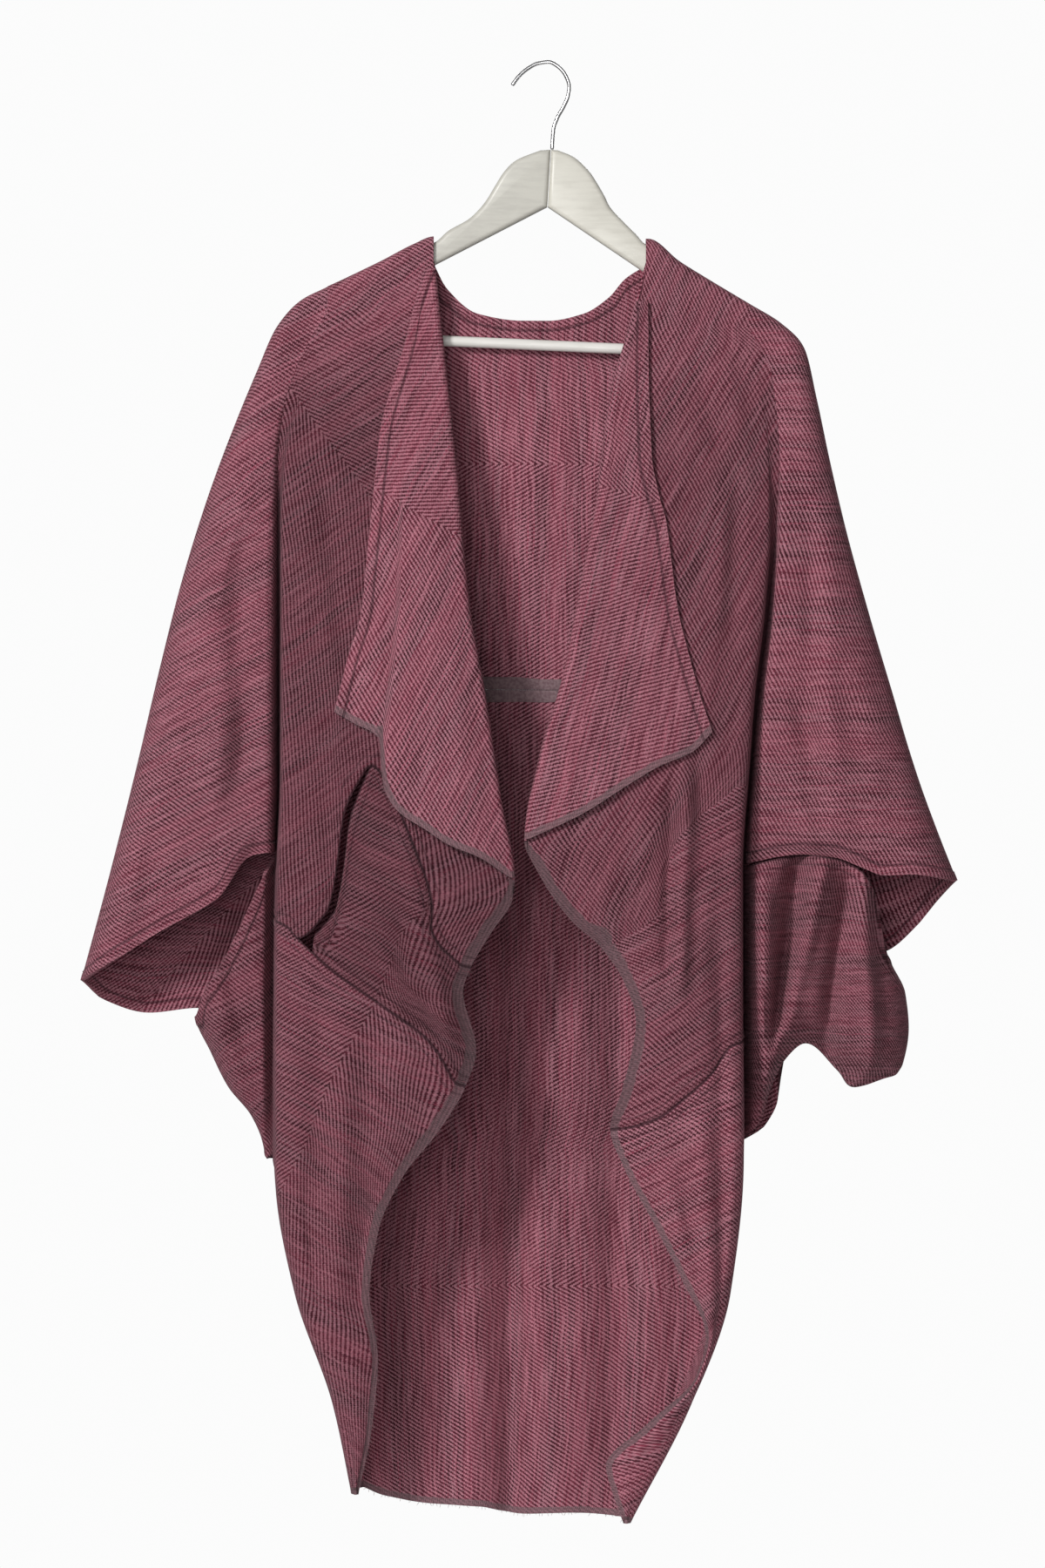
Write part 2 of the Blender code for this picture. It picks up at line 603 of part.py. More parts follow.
def object_from(name, mesh, finish):
    obj = bpy.data.objects.new(name, mesh)
    bpy.context.scene.collection.objects.link(obj)
    mesh.materials.append(finish)
    mesh.shade_smooth()
    mesh.set_sharp_from_angle(angle=math.radians(50))
    return obj


def cloth(name, grid, normals, sides=(), facings=(), gap=SEAM_GAP):
    """One piece of cloth: a wall of even thickness on the grid's middle surface.

    Each facing sets the normal of some rows in one column, so that neighbours meet square to each other.
    """
    for rows, column, direction in facings:
        normals[rows, column] = unit(np.array(direction, float))
    grid = draw_in(grid, normals, sides, gap)
    rows, columns = grid.shape[:2]
    count = rows * columns
    outer = (grid + normals * WALL / 2).reshape(-1, 3)
    inner = (grid - normals * WALL / 2).reshape(-1, 3)
    faces = []
    for i in range(rows - 1):
        for j in range(columns - 1):
            a = i * columns + j
            b, c, d = a + 1, a + columns + 1, a + columns
            faces.append((a, d, c, b))
            faces.append((a + count, b + count, c + count, d + count))
    rim = [(0, j) for j in range(columns - 1)]
    rim += [(i, columns - 1) for i in range(rows - 1)]
    rim += [(rows - 1, j) for j in range(columns - 1, 0, -1)]
    rim += [(i, 0) for i in range(rows - 1, 0, -1)]
    loop = [i * columns + j for i, j in rim]
    for a, b in zip(loop, loop[1:] + loop[:1]):
        faces.append((a, b, b + count, a + count))
    mesh = bpy.data.meshes.new(name)
    mesh.from_pydata((np.concatenate([outer, inner]) * MM).tolist(), [], faces)
    build = bmesh.new()
    build.from_mesh(mesh)
    bmesh.ops.recalc_face_normals(build, faces=build.faces)
    build.to_mesh(mesh)
    build.free()
    return object_from(name, mesh, material("cloth_" + name, COLOURS["cloth"], 0.9))


def make_front(front):
    """The upper, middle and lower piece of one front, and its lapel."""
    face = front.inward
    valley = (0, -face, 0)
    first = len(SHOULDER_ANGLES) + 1
    stations = np.array(SIDE_STATIONS + front.across + ROLL_STATIONS, float)
    point = partial(front_point, front)
    starts, ends = shoulder_start(front, stations), front.upper_end(stations)
    levels = (starts[0],) + front.upper_levels + (ends[0],)
    shares = [(level - starts[0]) / (ends[0] - starts[0]) for level in levels]
    below, normals = sheet_grid(point, stations, starts, ends, shares)
    upper = np.concatenate([shoulder_rows(below[0, :, 0], starts), below])
    normals = np.concatenate([surface_normals(upper)[:first], normals])
    facings = [(slice(first, None), 0, valley)]
    for row in range(first, len(upper)):
        rolled = min(1.0, float(front.roll(upper[row, -1, 2])) / 3)
        facings.append((row, -1, (-rolled, face * (rolled - 1.02), 0)))
    cloth(f"front_{front.word}_upper", upper, normals, ("top", "bottom", "left", "right"), facings)

    t = stations[stations >= front.middle_start]
    starts, ends = front.middle_top(t), front.lower_start(t)
    levels = (starts[0],) + front.middle_levels + (ends[0],)
    shares = [(level - starts[0]) / (ends[0] - starts[0]) for level in levels]
    middle, normals = sheet_grid(point, t, starts, ends, shares)
    joined = front.middle_start < 0
    sides = ("top", "bottom", "left") if joined else ("top", "bottom")
    cloth(f"front_{front.word}_middle", middle, normals, sides, [(slice(None), 0, valley)] if joined else [])

    t = np.array(LOWER_SIDE_STATIONS + front.across + ROLL_STATIONS, float)
    starts, ends = front.lower_start(t), np.full(len(t), front.hem)
    levels = (starts[0],) + front.lower_levels + (ends[0],)
    shares = [(level - starts[0]) / (ends[0] - starts[0]) for level in levels]
    lower, normals = sheet_grid(point, t, starts, ends, shares)
    facings = []
    for row in range(len(lower)):
        wrapped = lower[row, 0, 2] < front.wrap_from
        facings.append((row, 0, (-CORNER_ACROSS, CORNER_OUT * face, 0) if wrapped else valley))
    cloth(f"front_{front.word}_lower", lower, normals, ("top", "left"), facings)

    w = np.array(LAPEL_STATIONS, float)
    starts, ends = np.full(len(w), front.lapel_start), front.lapel_end(np.clip(w, 0, 1))
    lapel, normals = sheet_grid(partial(lapel_point, front), w, starts, ends, LAPEL_ROWS)
    cloth(f"lapel_{front.word}", lapel, normals, ("left",), [(slice(None), 0, (-1, 0, 0))], ROLL_GAP)


def make_back():
    s = np.array(BACK_STATIONS)
    starts = back_line(s, back_top)
    seam = BACK_SEAM[0] + (BACK_SEAM[1] - BACK_SEAM[0]) * s
    left = (starts[0],) + LEFT_ARM.back_levels[1:8]
    right = (starts[-1],) + RIGHT_ARM.back_levels[1:8]
    upper, normals = sheet_grid(back_point, s, starts, seam, shares_between(starts, seam, left, right, s))
    flat = [(slice(None), 0, (0, -1, 0)), (slice(None), -1, (0, -1, 0))]
    cloth("back_upper", upper, normals, ("top", "bottom", "left", "right"), flat)
    hem = back_line(s, HEM)
    left = (seam[0],) + BACK_LEFT_LEVELS + (hem[0],)
    right = (seam[-1],) + BACK_RIGHT_LEVELS + (hem[-1],)
    lower, normals = sheet_grid(back_point, s, seam, hem, shares_between(seam, hem, left, right, s))
    facings = list(flat)
    for row in range(len(lower)):
        if lower[row, 0, 2] < LEFT_FRONT.wrap_from:
            facings.append((row, 0, (CORNER_ACROSS, -CORNER_OUT, 0)))
        if lower[row, -1, 2] < RIGHT_FRONT.wrap_from:
            facings.append((row, -1, (-CORNER_ACROSS, -CORNER_OUT, 0)))
    cloth("back_lower", lower, normals, ("top", "left", "right"), facings)


def make_sleeve(sleeve):
    grid = np.array([sleeve_row(sleeve, row) for row in range(len(sleeve.front_levels))])
    facings = [(slice(None), 0, (0, -sleeve.inward, 0)), (slice(None), -1, (0, sleeve.inward, 0))]
    cloth(f"sleeve_{sleeve.word}", grid, surface_normals(grid), ("top", "left", "right", "bottom"), facings)


def make_side(piece):
    u = np.array(SIDE_PIECE_STATIONS)
    starts, ends = piece.start(u), piece.end(u)
    levels = [starts + (ends - starts) * share for share in SIDE_ROWS]
    grid = np.array([place(partial(side_point, piece), u, z) for z in levels])
    facings = [(slice(None), 0, (0, -piece.inward, 0)), (slice(None), -1, (0, piece.inward, 0))]
    cloth(f"side_{piece.word}", grid, surface_normals(grid), ("top", "left", "right", "bottom"), facings)


def plate(name, outline, colour, roughness):
    """A wooden piece: an outline in the coat's front plane, given thickness and a soft edge."""
    mesh = bpy.data.meshes.new(name)
    build = bmesh.new()
    corners = [build.verts.new((x * MM, -WOOD_HALF * MM, z * MM)) for x, z in outline]
    front = build.faces.new(corners)
    moved = bmesh.ops.extrude_face_region(build, geom=[front])
    far = [item for item in moved["geom"] if isinstance(item, bmesh.types.BMVert)]
    bmesh.ops.translate(build, verts=far, vec=(0, 2 * WOOD_HALF * MM, 0))
    bmesh.ops.recalc_face_normals(build, faces=build.faces)
    flat = [edge for edge in build.edges if abs(edge.verts[0].co.y - edge.verts[1].co.y) < 1e-6]
    bmesh.ops.bevel(build, geom=flat, offset=WOOD_BEVEL * MM, segments=2, profile=0.5, affect="EDGES")
    build.to_mesh(mesh)
    build.free()
    return object_from(name, mesh, material("finish_" + name, colour, roughness))


def rod(name, points, radius, sides, colour, roughness, metallic=0.0):
    """A round rod through points, with flat ends."""
    curve = bpy.data.curves.new(name, "CURVE")
    curve.dimensions = "3D"
    curve.bevel_depth = radius * MM
    curve.bevel_resolution = sides
    curve.use_fill_caps = True
    spline = curve.splines.new("POLY")
    spline.points.add(len(points) - 1)
    for point, place in zip(spline.points, points):
        point.co = (*(value * MM for value in place), 1)
    obj = bpy.data.objects.new(name, curve)
    bpy.context.scene.collection.objects.link(obj)
    curve.materials.append(material("finish_" + name, colour, roughness, metallic))
    return obj


def make_hanger():
    left_top = [(x, float(SHOULDER(x)) - ARM_BELOW_CLOTH) for x in ARM_LEFT_STEPS]
    right_top = [(x, float(SHOULDER(x)) - ARM_BELOW_CLOTH) for x in ARM_RIGHT_STEPS]
    half = SEAM_GAP / 2
    left = [(JOINT_TOP[0] - half, JOINT_TOP[1]), (JOINT_BOTTOM[0] - half, JOINT_BOTTOM[1])]
    left += [*LEFT_UNDERSIDE, *left_top, *LEFT_NECK]
    right = [(JOINT_BOTTOM[0] + half, JOINT_BOTTOM[1]), (JOINT_TOP[0] + half, JOINT_TOP[1])]
    right += [*RIGHT_NECK, *right_top, *RIGHT_UNDERSIDE]
    plate("hanger_arm_left", left, COLOURS["wood"], 0.45)
    plate("hanger_arm_right", right, COLOURS["wood"], 0.45)
    rail = [(x, 0, z) for x, z in (RAIL_LEFT, RAIL_RIGHT)]
    rod("hanger_rail", rail, RAIL_RADIUS, 4, COLOURS["rail"], 0.4)
    across = smooth([(step, x) for step, (x, z) in enumerate(HOOK)])
    height = smooth([(step, z) for step, (x, z) in enumerate(HOOK)])
    steps = np.linspace(0, len(HOOK) - 1, HOOK_STEPS)
    wire = [(float(across(step)), 0.0, float(height(step))) for step in steps]
    rod("hanger_hook", wire, WIRE_RADIUS, 2, COLOURS["chrome"], 0.15, 1.0)


LEFT_FRONT = SimpleNamespace(
    word="left", inward=1, sections=LEFT, edge=LEFT_EDGE, roll=LEFT_ROLL, back_side=BACK_LEFT,
    across=(0, 0.07, 0.14, 0.2, 0.235, 0.27, 0.33, 0.42, 0.48, 0.6, 0.72, 0.87),
    upper_end=LEFT_UPPER_END, middle_top=pocket_mouth, middle_start=LEFT_MIDDLE_START,
    lower_start=LEFT_LOWER_START,
    upper_levels=(-236, -264, -300, -345, -400, -460, -520, -580, -632, -677),
    middle_levels=(-753, -757, -761),
    lower_levels=(-780, -820, -870, -915, -942) + LEFT_WRAP_LEVELS,
    hem=-1228, wrap_from=-955, lapel_edge=LEFT_LAPEL_EDGE, lapel_end=LEFT_LAPEL_END, lapel_start=-178.0,
    lapel_step=0.63,
)
RIGHT_FRONT = SimpleNamespace(
    word="right", inward=-1, sections=RIGHT, edge=RIGHT_EDGE, roll=RIGHT_ROLL, back_side=BACK_RIGHT,
    across=(0, 0.06, 0.15, 0.25, 0.36, 0.465, 0.58, 0.7, 0.85),
    upper_end=RIGHT_UPPER_END, middle_top=RIGHT_UPPER_END, lower_start=RIGHT_LOWER_START, middle_start=-1,
    upper_levels=(-236, -246, -272, -305, -348, -402, -475, -540, -580),
    middle_levels=(-652, -688, -740, -790),
    lower_levels=(-865, -890, -905, -920) + RIGHT_WRAP_LEVELS,
    hem=-1253, wrap_from=-932, lapel_edge=RIGHT_LAPEL_EDGE, lapel_end=RIGHT_LAPEL_END, lapel_start=-205.0,
    lapel_step=0.0,
)
LEFT_ARM_START = float(SHOULDER(ARM_SEAM_LEFT)) - SHOULDER_DROP
RIGHT_ARM_START = float(SHOULDER(ARM_SEAM_RIGHT)) - SHOULDER_DROP
LEFT_ARM = SimpleNamespace(
    word="left", inward=-1, sections=LEFT, shape=LEFT_SLEEVE, back_side=BACK_LEFT,
    front_levels=(LEFT_ARM_START, -236, -264, -300, -345, -400, -460, -520, -580, -632, -677),
    back_levels=(LEFT_ARM_START, -236, -264, -305, -355, -420, -490, -536, -620, -720, -820),
    cuff_front=LEFT_CUFF_FRONT, cuff_back=LEFT_CUFF_BACK,
)
RIGHT_ARM = SimpleNamespace(
    word="right", inward=1, sections=RIGHT, shape=RIGHT_SLEEVE, back_side=BACK_RIGHT,
    front_levels=(RIGHT_ARM_START, -246, -272, -305, -348, -402, -475, -540, -580, -616, -652, -688),
    back_levels=(RIGHT_ARM_START, -248, -280, -320, -365, -425, -490, -540, -600, -655, -705, -766),
    cuff_front=RIGHT_CUFF_FRONT, cuff_back=RIGHT_CUFF_BACK,
)
LEFT_BAG = SimpleNamespace(
    word="left", inward=-1, sections=LEFT, shape=LEFT_SIDE, back_side=BACK_LEFT,
    start=LEFT_SIDE_START, end=LEFT_SIDE_END, folds=[],
)
RIGHT_BAG = SimpleNamespace(
    word="right", inward=1, sections=RIGHT, shape=RIGHT_SIDE, back_side=BACK_RIGHT,
    start=RIGHT_SIDE_START, end=RIGHT_SIDE_END, folds=SIDE_FOLDS,
)


def main():
    for obj in list(bpy.data.objects):
        bpy.data.objects.remove(obj, do_unlink=True)
    for front in (LEFT_FRONT, RIGHT_FRONT):
        make_front(front)
    make_back()
    for sleeve in (LEFT_ARM, RIGHT_ARM):
        make_sleeve(sleeve)
    for piece in (LEFT_BAG, RIGHT_BAG):
        make_side(piece)
    make_hanger()


main()
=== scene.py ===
"""A kimono coat of handwoven herringbone twill on a wooden hanger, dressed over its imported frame.

The origin is where the hanger's hook hangs. X runs across the coat, -Y faces the front and +Z is up.
Tables and functions work in millimetres, and each mesh is made in metres. Each sheet of cloth is a smooth
surface worked out from short tables of its sections, with its creases on it, and is given a thin wall.
"""

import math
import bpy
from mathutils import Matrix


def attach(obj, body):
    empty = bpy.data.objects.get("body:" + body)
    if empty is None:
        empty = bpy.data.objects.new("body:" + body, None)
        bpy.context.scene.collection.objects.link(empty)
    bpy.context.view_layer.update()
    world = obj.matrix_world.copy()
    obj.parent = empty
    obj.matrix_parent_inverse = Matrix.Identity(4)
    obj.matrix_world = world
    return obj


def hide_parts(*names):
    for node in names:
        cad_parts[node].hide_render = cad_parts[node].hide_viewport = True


bl_info = {
    "name": "Kimono coat",
    "version": (1, 0, 0),
    "blender": (4, 5, 0),
    "location": "View3D > Sidebar > Coat",
    "description": "Dresses the packed frame of a handwoven kimono coat and its hanger",
    "category": "Object",
}

from functools import partial
from types import SimpleNamespace

import bmesh
import bpy
import numpy as np

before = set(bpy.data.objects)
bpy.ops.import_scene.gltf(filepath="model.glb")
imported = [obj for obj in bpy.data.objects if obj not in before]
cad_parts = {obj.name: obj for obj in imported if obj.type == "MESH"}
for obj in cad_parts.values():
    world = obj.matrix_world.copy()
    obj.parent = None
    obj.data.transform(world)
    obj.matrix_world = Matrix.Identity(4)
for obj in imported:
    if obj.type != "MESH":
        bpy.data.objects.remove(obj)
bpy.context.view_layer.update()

MM = 0.001
BODY = "root"
SEAM_GAP = 0.03
ROLL_GAP = 0.05
JOINT_GAP = 0.3
GRID_STEP = 4.0
FAR = 1000.0
LEAST_SQUARE = 0.3
SETTLING_ROUNDS = 12
EVENED_ROWS = 30

# Extra rows of a grid, at these distances from a seam and from a turned hem.
SEAM_ROWS = (2.0, 5.0)
HEM_ROWS = (1.5, 4.0, 7.0, 9.0, 11.0)

# The usual size of each kind of piece, which sets how many rows its grid has.
UPPER_LENGTH, MIDDLE_LENGTH, LOWER_LENGTH = 550, 150, 430
LAPEL_LENGTH, LAPEL_WIDTH, LAPEL_GRID_STEP = 480, 120, 2.6
BACK_UPPER_LENGTH, BACK_LOWER_LENGTH = 330, 705
CUFF_LENGTH, SIDE_LENGTH, RAIL_LENGTH = 80, 240, 392
BACK_COLUMNS, ARM_ROWS, HOOK_STEPS = 111, 120, 140

# How many columns each grid has for its turns and its flat parts.
FOLD_COLUMNS, FLAT_COLUMNS, ROLL_COLUMNS = 15, 61, 8
SLEEVE_VALLEY_COLUMNS, SLEEVE_FLAT_COLUMNS, SLEEVE_TURN_COLUMNS = 7, 42, 9
SIDE_FRONT_COLUMNS, SIDE_BACK_COLUMNS = 56, 41

# The column of each grid from which its cloth is laid flat.
FRONT_ANCHOR, MIDDLE_ANCHOR, LAPEL_ANCHOR, BACK_ANCHOR = 40, 20, 25, 55

# Seeds of the random draws.
WAVE_SEEDS = (11, 12, 13)
ALLOWANCE_SEED, STITCH_SEED, FRAY_SEED = 21, 31, 41

# Cloth round the hanger: how far its middle stands off the hanger's own middle plane.
SHOULDER_RADIUS = 8.8
SHOULDER_DROP = 20.0
ARM_SEAM_LEFT, ARM_SEAM_RIGHT = -190.0, 172.0
NECK_LEFT, NECK_RIGHT = -99.0, 85.0

# The fronts and lapels.
FOLD_TURN = 8.0
ROLL_REACH = 3.0
WRAP_LENGTH = 24.0
WRAP_FACING = (0.55, 0.83)
LAPEL_STAND_OFF = 4.5
LAPEL_STEP = 6.0
LAPEL_DEEPEST_CREASE = 1.6
LEFT_MIDDLE_START = 0.14
POCKET_TOP = 0.43
POCKET_SHIFT = 0.028
POCKET_DROP = 1.2

# The sleeves and side pieces.
SLEEVE_VALLEY = 9.0
SIDE_CLOSING = 40.0
SIDE_MIDDLE = 14.0

# The hanger.
WOOD_HALF = 5.8
WOOD_ROUND = 4.2
ARM_BELOW_CLOTH = 3.6
RAIL_RADIUS = 4.6
WIRE_RADIUS = 1.7
JOINT_TOP, JOINT_BOTTOM = (2.0, -73.5), (-1.0, -123.0)
ARM_LEFT_STEPS = (-215, -205, -190, -160, -130, -110)
ARM_RIGHT_STEPS = (96, 115, 140, 165, 185, 199)
LEFT_NECK = (
    (-97.5, -153), (-86, -143), (-70, -134), (-60, -125), (-53, -116), (-47, -106), (-38, -92), (-27, -82),
    (-7, -74),
)
RIGHT_NECK = (
    (8, -74), (22, -80), (34, -91), (41, -101), (48, -113), (53, -123), (62, -133), (75, -146), (83.5, -155),
)
LEFT_UNDERSIDE = ((-100, -174), (-150, -198), (-202, -226), (-202, -240), (-211, -241), (-217, -229))
RIGHT_UNDERSIDE = ((204, -243), (200, -256), (190, -257), (190, -243), (140, -209), (82, -179))
RAIL_LEFT = (-201.7, -233.0)
RAIL_RIGHT = (189.7, -250.5)
HOOK = (
    (-31.5, -18), (-25.5, -10), (-18, -3.5), (-9, 1), (0, 2.2), (8.5, -2), (15, -10), (17.8, -19),
    (16.8, -27), (13, -36), (7.5, -46), (4.3, -56), (3, -73.2),
)


def smooth(pairs):
    """A smooth function through (level, value) pairs that never overshoots them."""
    levels, values = np.array(sorted(pairs), float).T
    steps = np.diff(levels)
    slopes = np.diff(values) / steps
    tangents = np.zeros_like(values)
    product = slopes[:-1] * slopes[1:]
    total = slopes[:-1] + slopes[1:]
    monotone = product > 0
    tangents[1:-1][monotone] = 2 * product[monotone] / total[monotone]
    tangents[0], tangents[-1] = slopes[0], slopes[-1]

    def value(level):
        level = np.clip(level, levels[0], levels[-1])
        i = np.clip(np.searchsorted(levels, level) - 1, 0, len(steps) - 1)
        t = (level - levels[i]) / steps[i]
        start = values[i] * (1 + 2 * t) * (1 - t) ** 2 + values[i + 1] * t * t * (3 - 2 * t)
        return start + steps[i] * (tangents[i] * t * (1 - t) ** 2 - tangents[i + 1] * t * t * (1 - t))

    return value


def table(names, rows):
    """A short table as named smooth functions of its first column."""
    columns = list(zip(*rows))
    named = zip(names.split()[1:], columns[1:])
    return SimpleNamespace(**{name: smooth(zip(columns[0], column)) for name, column in named})


# The shoulder line, seen from the front.
SHOULDER = smooth([
    (-238, -240), (-226, -215), (-206, -200), (-175, -185), (-144, -170), (-115, -155), (-99, -149),
    (86, -151), (112, -170), (136, -185), (161, -200), (186, -215), (208, -230), (222, -250),
])

# The neck hem at the back.
NECK_HEM = smooth([
    (-99, -171), (-88, -192), (-61, -214), (-22, -220), (0, -220), (30, -214), (52, -200), (66, -184),
    (85, -172),
])

# Front edge of each front by level: the roll of the lapel, then the free edges down to the hem.
LEFT_EDGE = smooth([
    (-150, -101), (-234, -92), (-334, -81), (-470, -68), (-537, -56), (-634, -41), (-700, -30),
    (-717, -31), (-746, -49), (-775, -66), (-796, -73), (-846, -62), (-877, -71),
    (-915, -94), (-953, -124), (-999, -145), (-1055, -153), (-1110, -146), (-1167, -151), (-1227, -163),
])
RIGHT_EDGE = smooth([
    (-152, 87), (-179, 82), (-236, 67), (-278, 55), (-338, 46), (-380, 41), (-470, 24), (-526, 13),
    (-594, -7), (-668, -20), (-699, -7), (-737, 20), (-757, 43), (-788, 64), (-821, 74), (-877, 63),
    (-912, 52), (-946, 64), (-995, 90), (-1045, 115), (-1090, 134), (-1125, 126), (-1167, 84),
    (-1203, 49), (-1227, 55), (-1253, 64),
])

# Each front by level: the inner line where it meets the sleeve or the side, its side fold, its depths.
LEFT = table("z x_inner y_inner x_fold y_fold y_middle y_edge", [
    (-212, -190, -8.8, -178, -8.8, -8.8, -8.8),
    (-262, -217, -15, -205, -16, -17, -14),
    (-300, -228, -20, -216, -22, -24, -20),
    (-345, -233, -20, -226, -29, -31, -26),
    (-400, -233, -10, -229, -36, -38, -32),
    (-470, -233, -4, -229, -43, -46, -40),
    (-610, -233, 4, -229, -57, -62, -54),
    (-720, -237, 8, -233, -66, -74, -62),
    (-860, -238, 8, -234, -72, -82, -70),
    (-940, -238, 10, -234, -68, -76, -70),
    (-965, -238, 10, -233, -66, -74, -68),
    (-1055, -238, 10, -217, -58, -64, -58),
    (-1150, -238, 10, -185, -44, -48, -44),
    (-1227, -238, 10, -169, -30, -33, -30),
])
RIGHT = table("z x_inner y_inner x_fold y_fold y_middle y_edge", [
    (-227, 172, -8.8, 160, -8.8, -8.8, -8.8),
    (-270, 192, -16, 180, -17, -18, -12.8),
    (-340, 198, -24, 188, -28, -30, -26),
    (-400, 195, -20, 189, -36, -38, -33),
    (-475, 189, -6, 184, -44, -47, -42),
    (-540, 181, 0, 176, -50, -55, -50),
    (-604, 175, 3, 171, -56, -62, -56),
    (-690, 169, 6, 165, -64, -72, -66),
    (-800, 168, 8, 165, -72, -82, -76),
    (-915, 168, 10, 166, -72, -82, -78),
    (-940, 168, 10, 166, -70, -78, -76),
    (-1055, 168, 10, 155, -58, -64, -62),
    (-1150, 168, 10, 122, -46, -50, -46),
    (-1253, 168, 10, 70, -28, -30, -28),
])

# The side fold by share of its turn.
FOLD_INNER = smooth([(0, 1), (0.1, 0.62), (0.25, 0.22), (0.5, 0), (1, 0)])
FOLD_FRONT = smooth([(0, 0), (0.5, 0), (0.75, 0.3), (1, 1)])
FOLD_DEPTH = smooth([(0, 0), (0.1, 0.07), (0.25, 0.30), (0.5, 0.68), (0.75, 0.93), (1, 1)])

# Radius of the lapel's roll by level.
LEFT_ROLL = smooth([(-170, 0), (-178, 2.4), (-200, 4.5), (-400, 6), (-640, 6), (-700, 3.2), (-716, 0)])
RIGHT_ROLL = smooth([
    (-170, 0), (-200, 2.6), (-240, 4.2), (-300, 5.2), (-400, 6), (-620, 6), (-664, 3.2), (-680, 0),
])

# Outer edge of each lapel by level, run on below its corner.
LEFT_LAPEL_EDGE = smooth([
    (-178, -107), (-211, -116), (-240, -123), (-277, -134), (-315, -144), (-351, -148), (-431, -156),
    (-472, -160), (-517, -173), (-558, -183), (-700, -220),
])
RIGHT_LAPEL_EDGE = smooth([
    (-200, 85), (-278, 86), (-340, 88), (-372, 94), (-394, 100), (-470, 110), (-504, 118), (-550, 131),
    (-575, 139), (-700, 175),
])

# Lower edge of each lapel: share of the lapel's width, level.
LEFT_LAPEL_END = smooth([
    (0, -699), (0.13, -682), (0.27, -671), (0.38, -658), (0.51, -644), (0.60, -625), (0.67, -580),
    (0.845, -568), (1, -558),
])
RIGHT_LAPEL_END = smooth([(0, -666), (0.23, -646), (0.45, -622), (0.65, -604), (0.85, -592), (1, -575)])

# Seam lines of the fronts: share of the way from the side fold to the front edge, level.
LEFT_UPPER_END = smooth([
    (-1, -733), (0, -740), (0.07, -751), (0.20, -727), (0.233, -687), (0.265, -648), (0.33, -622),
    (0.417, -604), (0.48, -616), (0.72, -744), (0.87, -765), (1, -775), (2, -776),
])
LEFT_LOWER_START = smooth([
    (-1, -733), (0, -740), (0.07, -751), (0.23, -774), (0.5, -802), (0.72, -829), (1, -876), (2, -877),
])
RIGHT_UPPER_END = smooth([
    (-1, -616), (0, -622), (0.06, -630), (0.25, -661), (0.36, -700), (0.465, -731), (0.7, -746), (1, -757),
    (2, -758),
])
RIGHT_LOWER_START = smooth([
    (-1, -836), (0, -842), (0.23, -867), (0.44, -886), (0.65, -904), (0.9, -912), (1, -913), (2, -913.5),
])

# The back by level: depth at its sides, and how much fuller it is in the middle.
BACK = table("z y_side fullness", [
    (-160, 8.8, 0), (-212, 8.8, 0.5), (-300, 16, 2), (-400, 22, 4), (-540, 28, 6), (-700, 34, 9),
    (-850, 37, 12), (-1000, 38, 13), (-1100, 37, 12), (-1253, 31, 9),
])
BACK_LEFT = smooth([
    (-206, -190), (-212, -190), (-262, -217), (-300, -228), (-345, -233), (-940, -234), (-965, -225),
    (-1055, -209), (-1150, -176), (-1227, -160),
])
BACK_RIGHT = smooth([
    (-206, 172), (-227, 172), (-270, 192), (-340, 199), (-890, 199), (-915, 188), (-940, 154),
    (-1055, 145), (-1150, 112), (-1253, 58),
])
BACK_SEAM = (-536, -540)
HEM = smooth([
    (-160, -1228), (-141, -1236), (-94, -1243), (-60, -1245), (-28, -1252), (19, -1250), (62, -1253),
])

# Sleeves, a row for each section from the shoulder to the cuff: the outer edge and the depth of both
# layers. The two lists give the level where each layer starts at the body.
LEFT_SLEEVE = table("row x_outer z_outer y_front y_outer y_back", [
    (0, -190, -192.2, -8.8, 0, 8.8),
    (1, -213, -204, -10, 0, 9.5),
    (2, -233, -226, -15, 0, 12),
    (3, -251, -266, -22, 0, 16),
    (4, -270, -312, -28, 0, 20),
    (5, -292, -371, -32, 0, 24),
    (6, -315, -445, -35, 0, 27),
    (7, -334, -520, -37, 0, 30),
    (8, -354, -605, -37, 1, 33),
    (9, -378, -700, -34, 3, 35),
    (10, -402, -789, -28, 5, 36),
])
RIGHT_SLEEVE = table("row x_outer z_outer y_front y_outer y_back", [
    (0, 172, -206.5, -8.8, 0, 8.8),
    (1, 200, -223.8, -11, 0, 10),
    (2, 219, -244, -16, 0, 14),
    (3, 230, -288, -22, 0, 18),
    (4, 241, -340, -27, 0, 21),
    (5, 255, -400, -31, 0, 24),
    (6, 275, -473, -35, 0, 27),
    (7, 296, -544, -37, 0, 30),
    (8, 308, -585, -37, 1, 32),
    (9, 320, -622, -36, 2, 33),
    (10, 334, -660, -34, 3, 34),
    (11, 351, -703, -32, 5, 35),
])
LEFT_ARM_START = float(SHOULDER(ARM_SEAM_LEFT)) - SHOULDER_DROP
RIGHT_ARM_START = float(SHOULDER(ARM_SEAM_RIGHT)) - SHOULDER_DROP
LEFT_FRONT_LEVELS = (LEFT_ARM_START, -236, -264, -300, -345, -400, -460, -520, -580, -632, -677)
LEFT_BACK_LEVELS = (LEFT_ARM_START, -236, -264, -305, -355, -420, -490, -536, -620, -720, -820)
RIGHT_FRONT_LEVELS = (RIGHT_ARM_START, -246, -272, -305, -348, -402, -475, -540, -580, -616, -652, -688)
RIGHT_BACK_LEVELS = (RIGHT_ARM_START, -248, -280, -320, -365, -425, -490, -540, -600, -655, -705, -766)

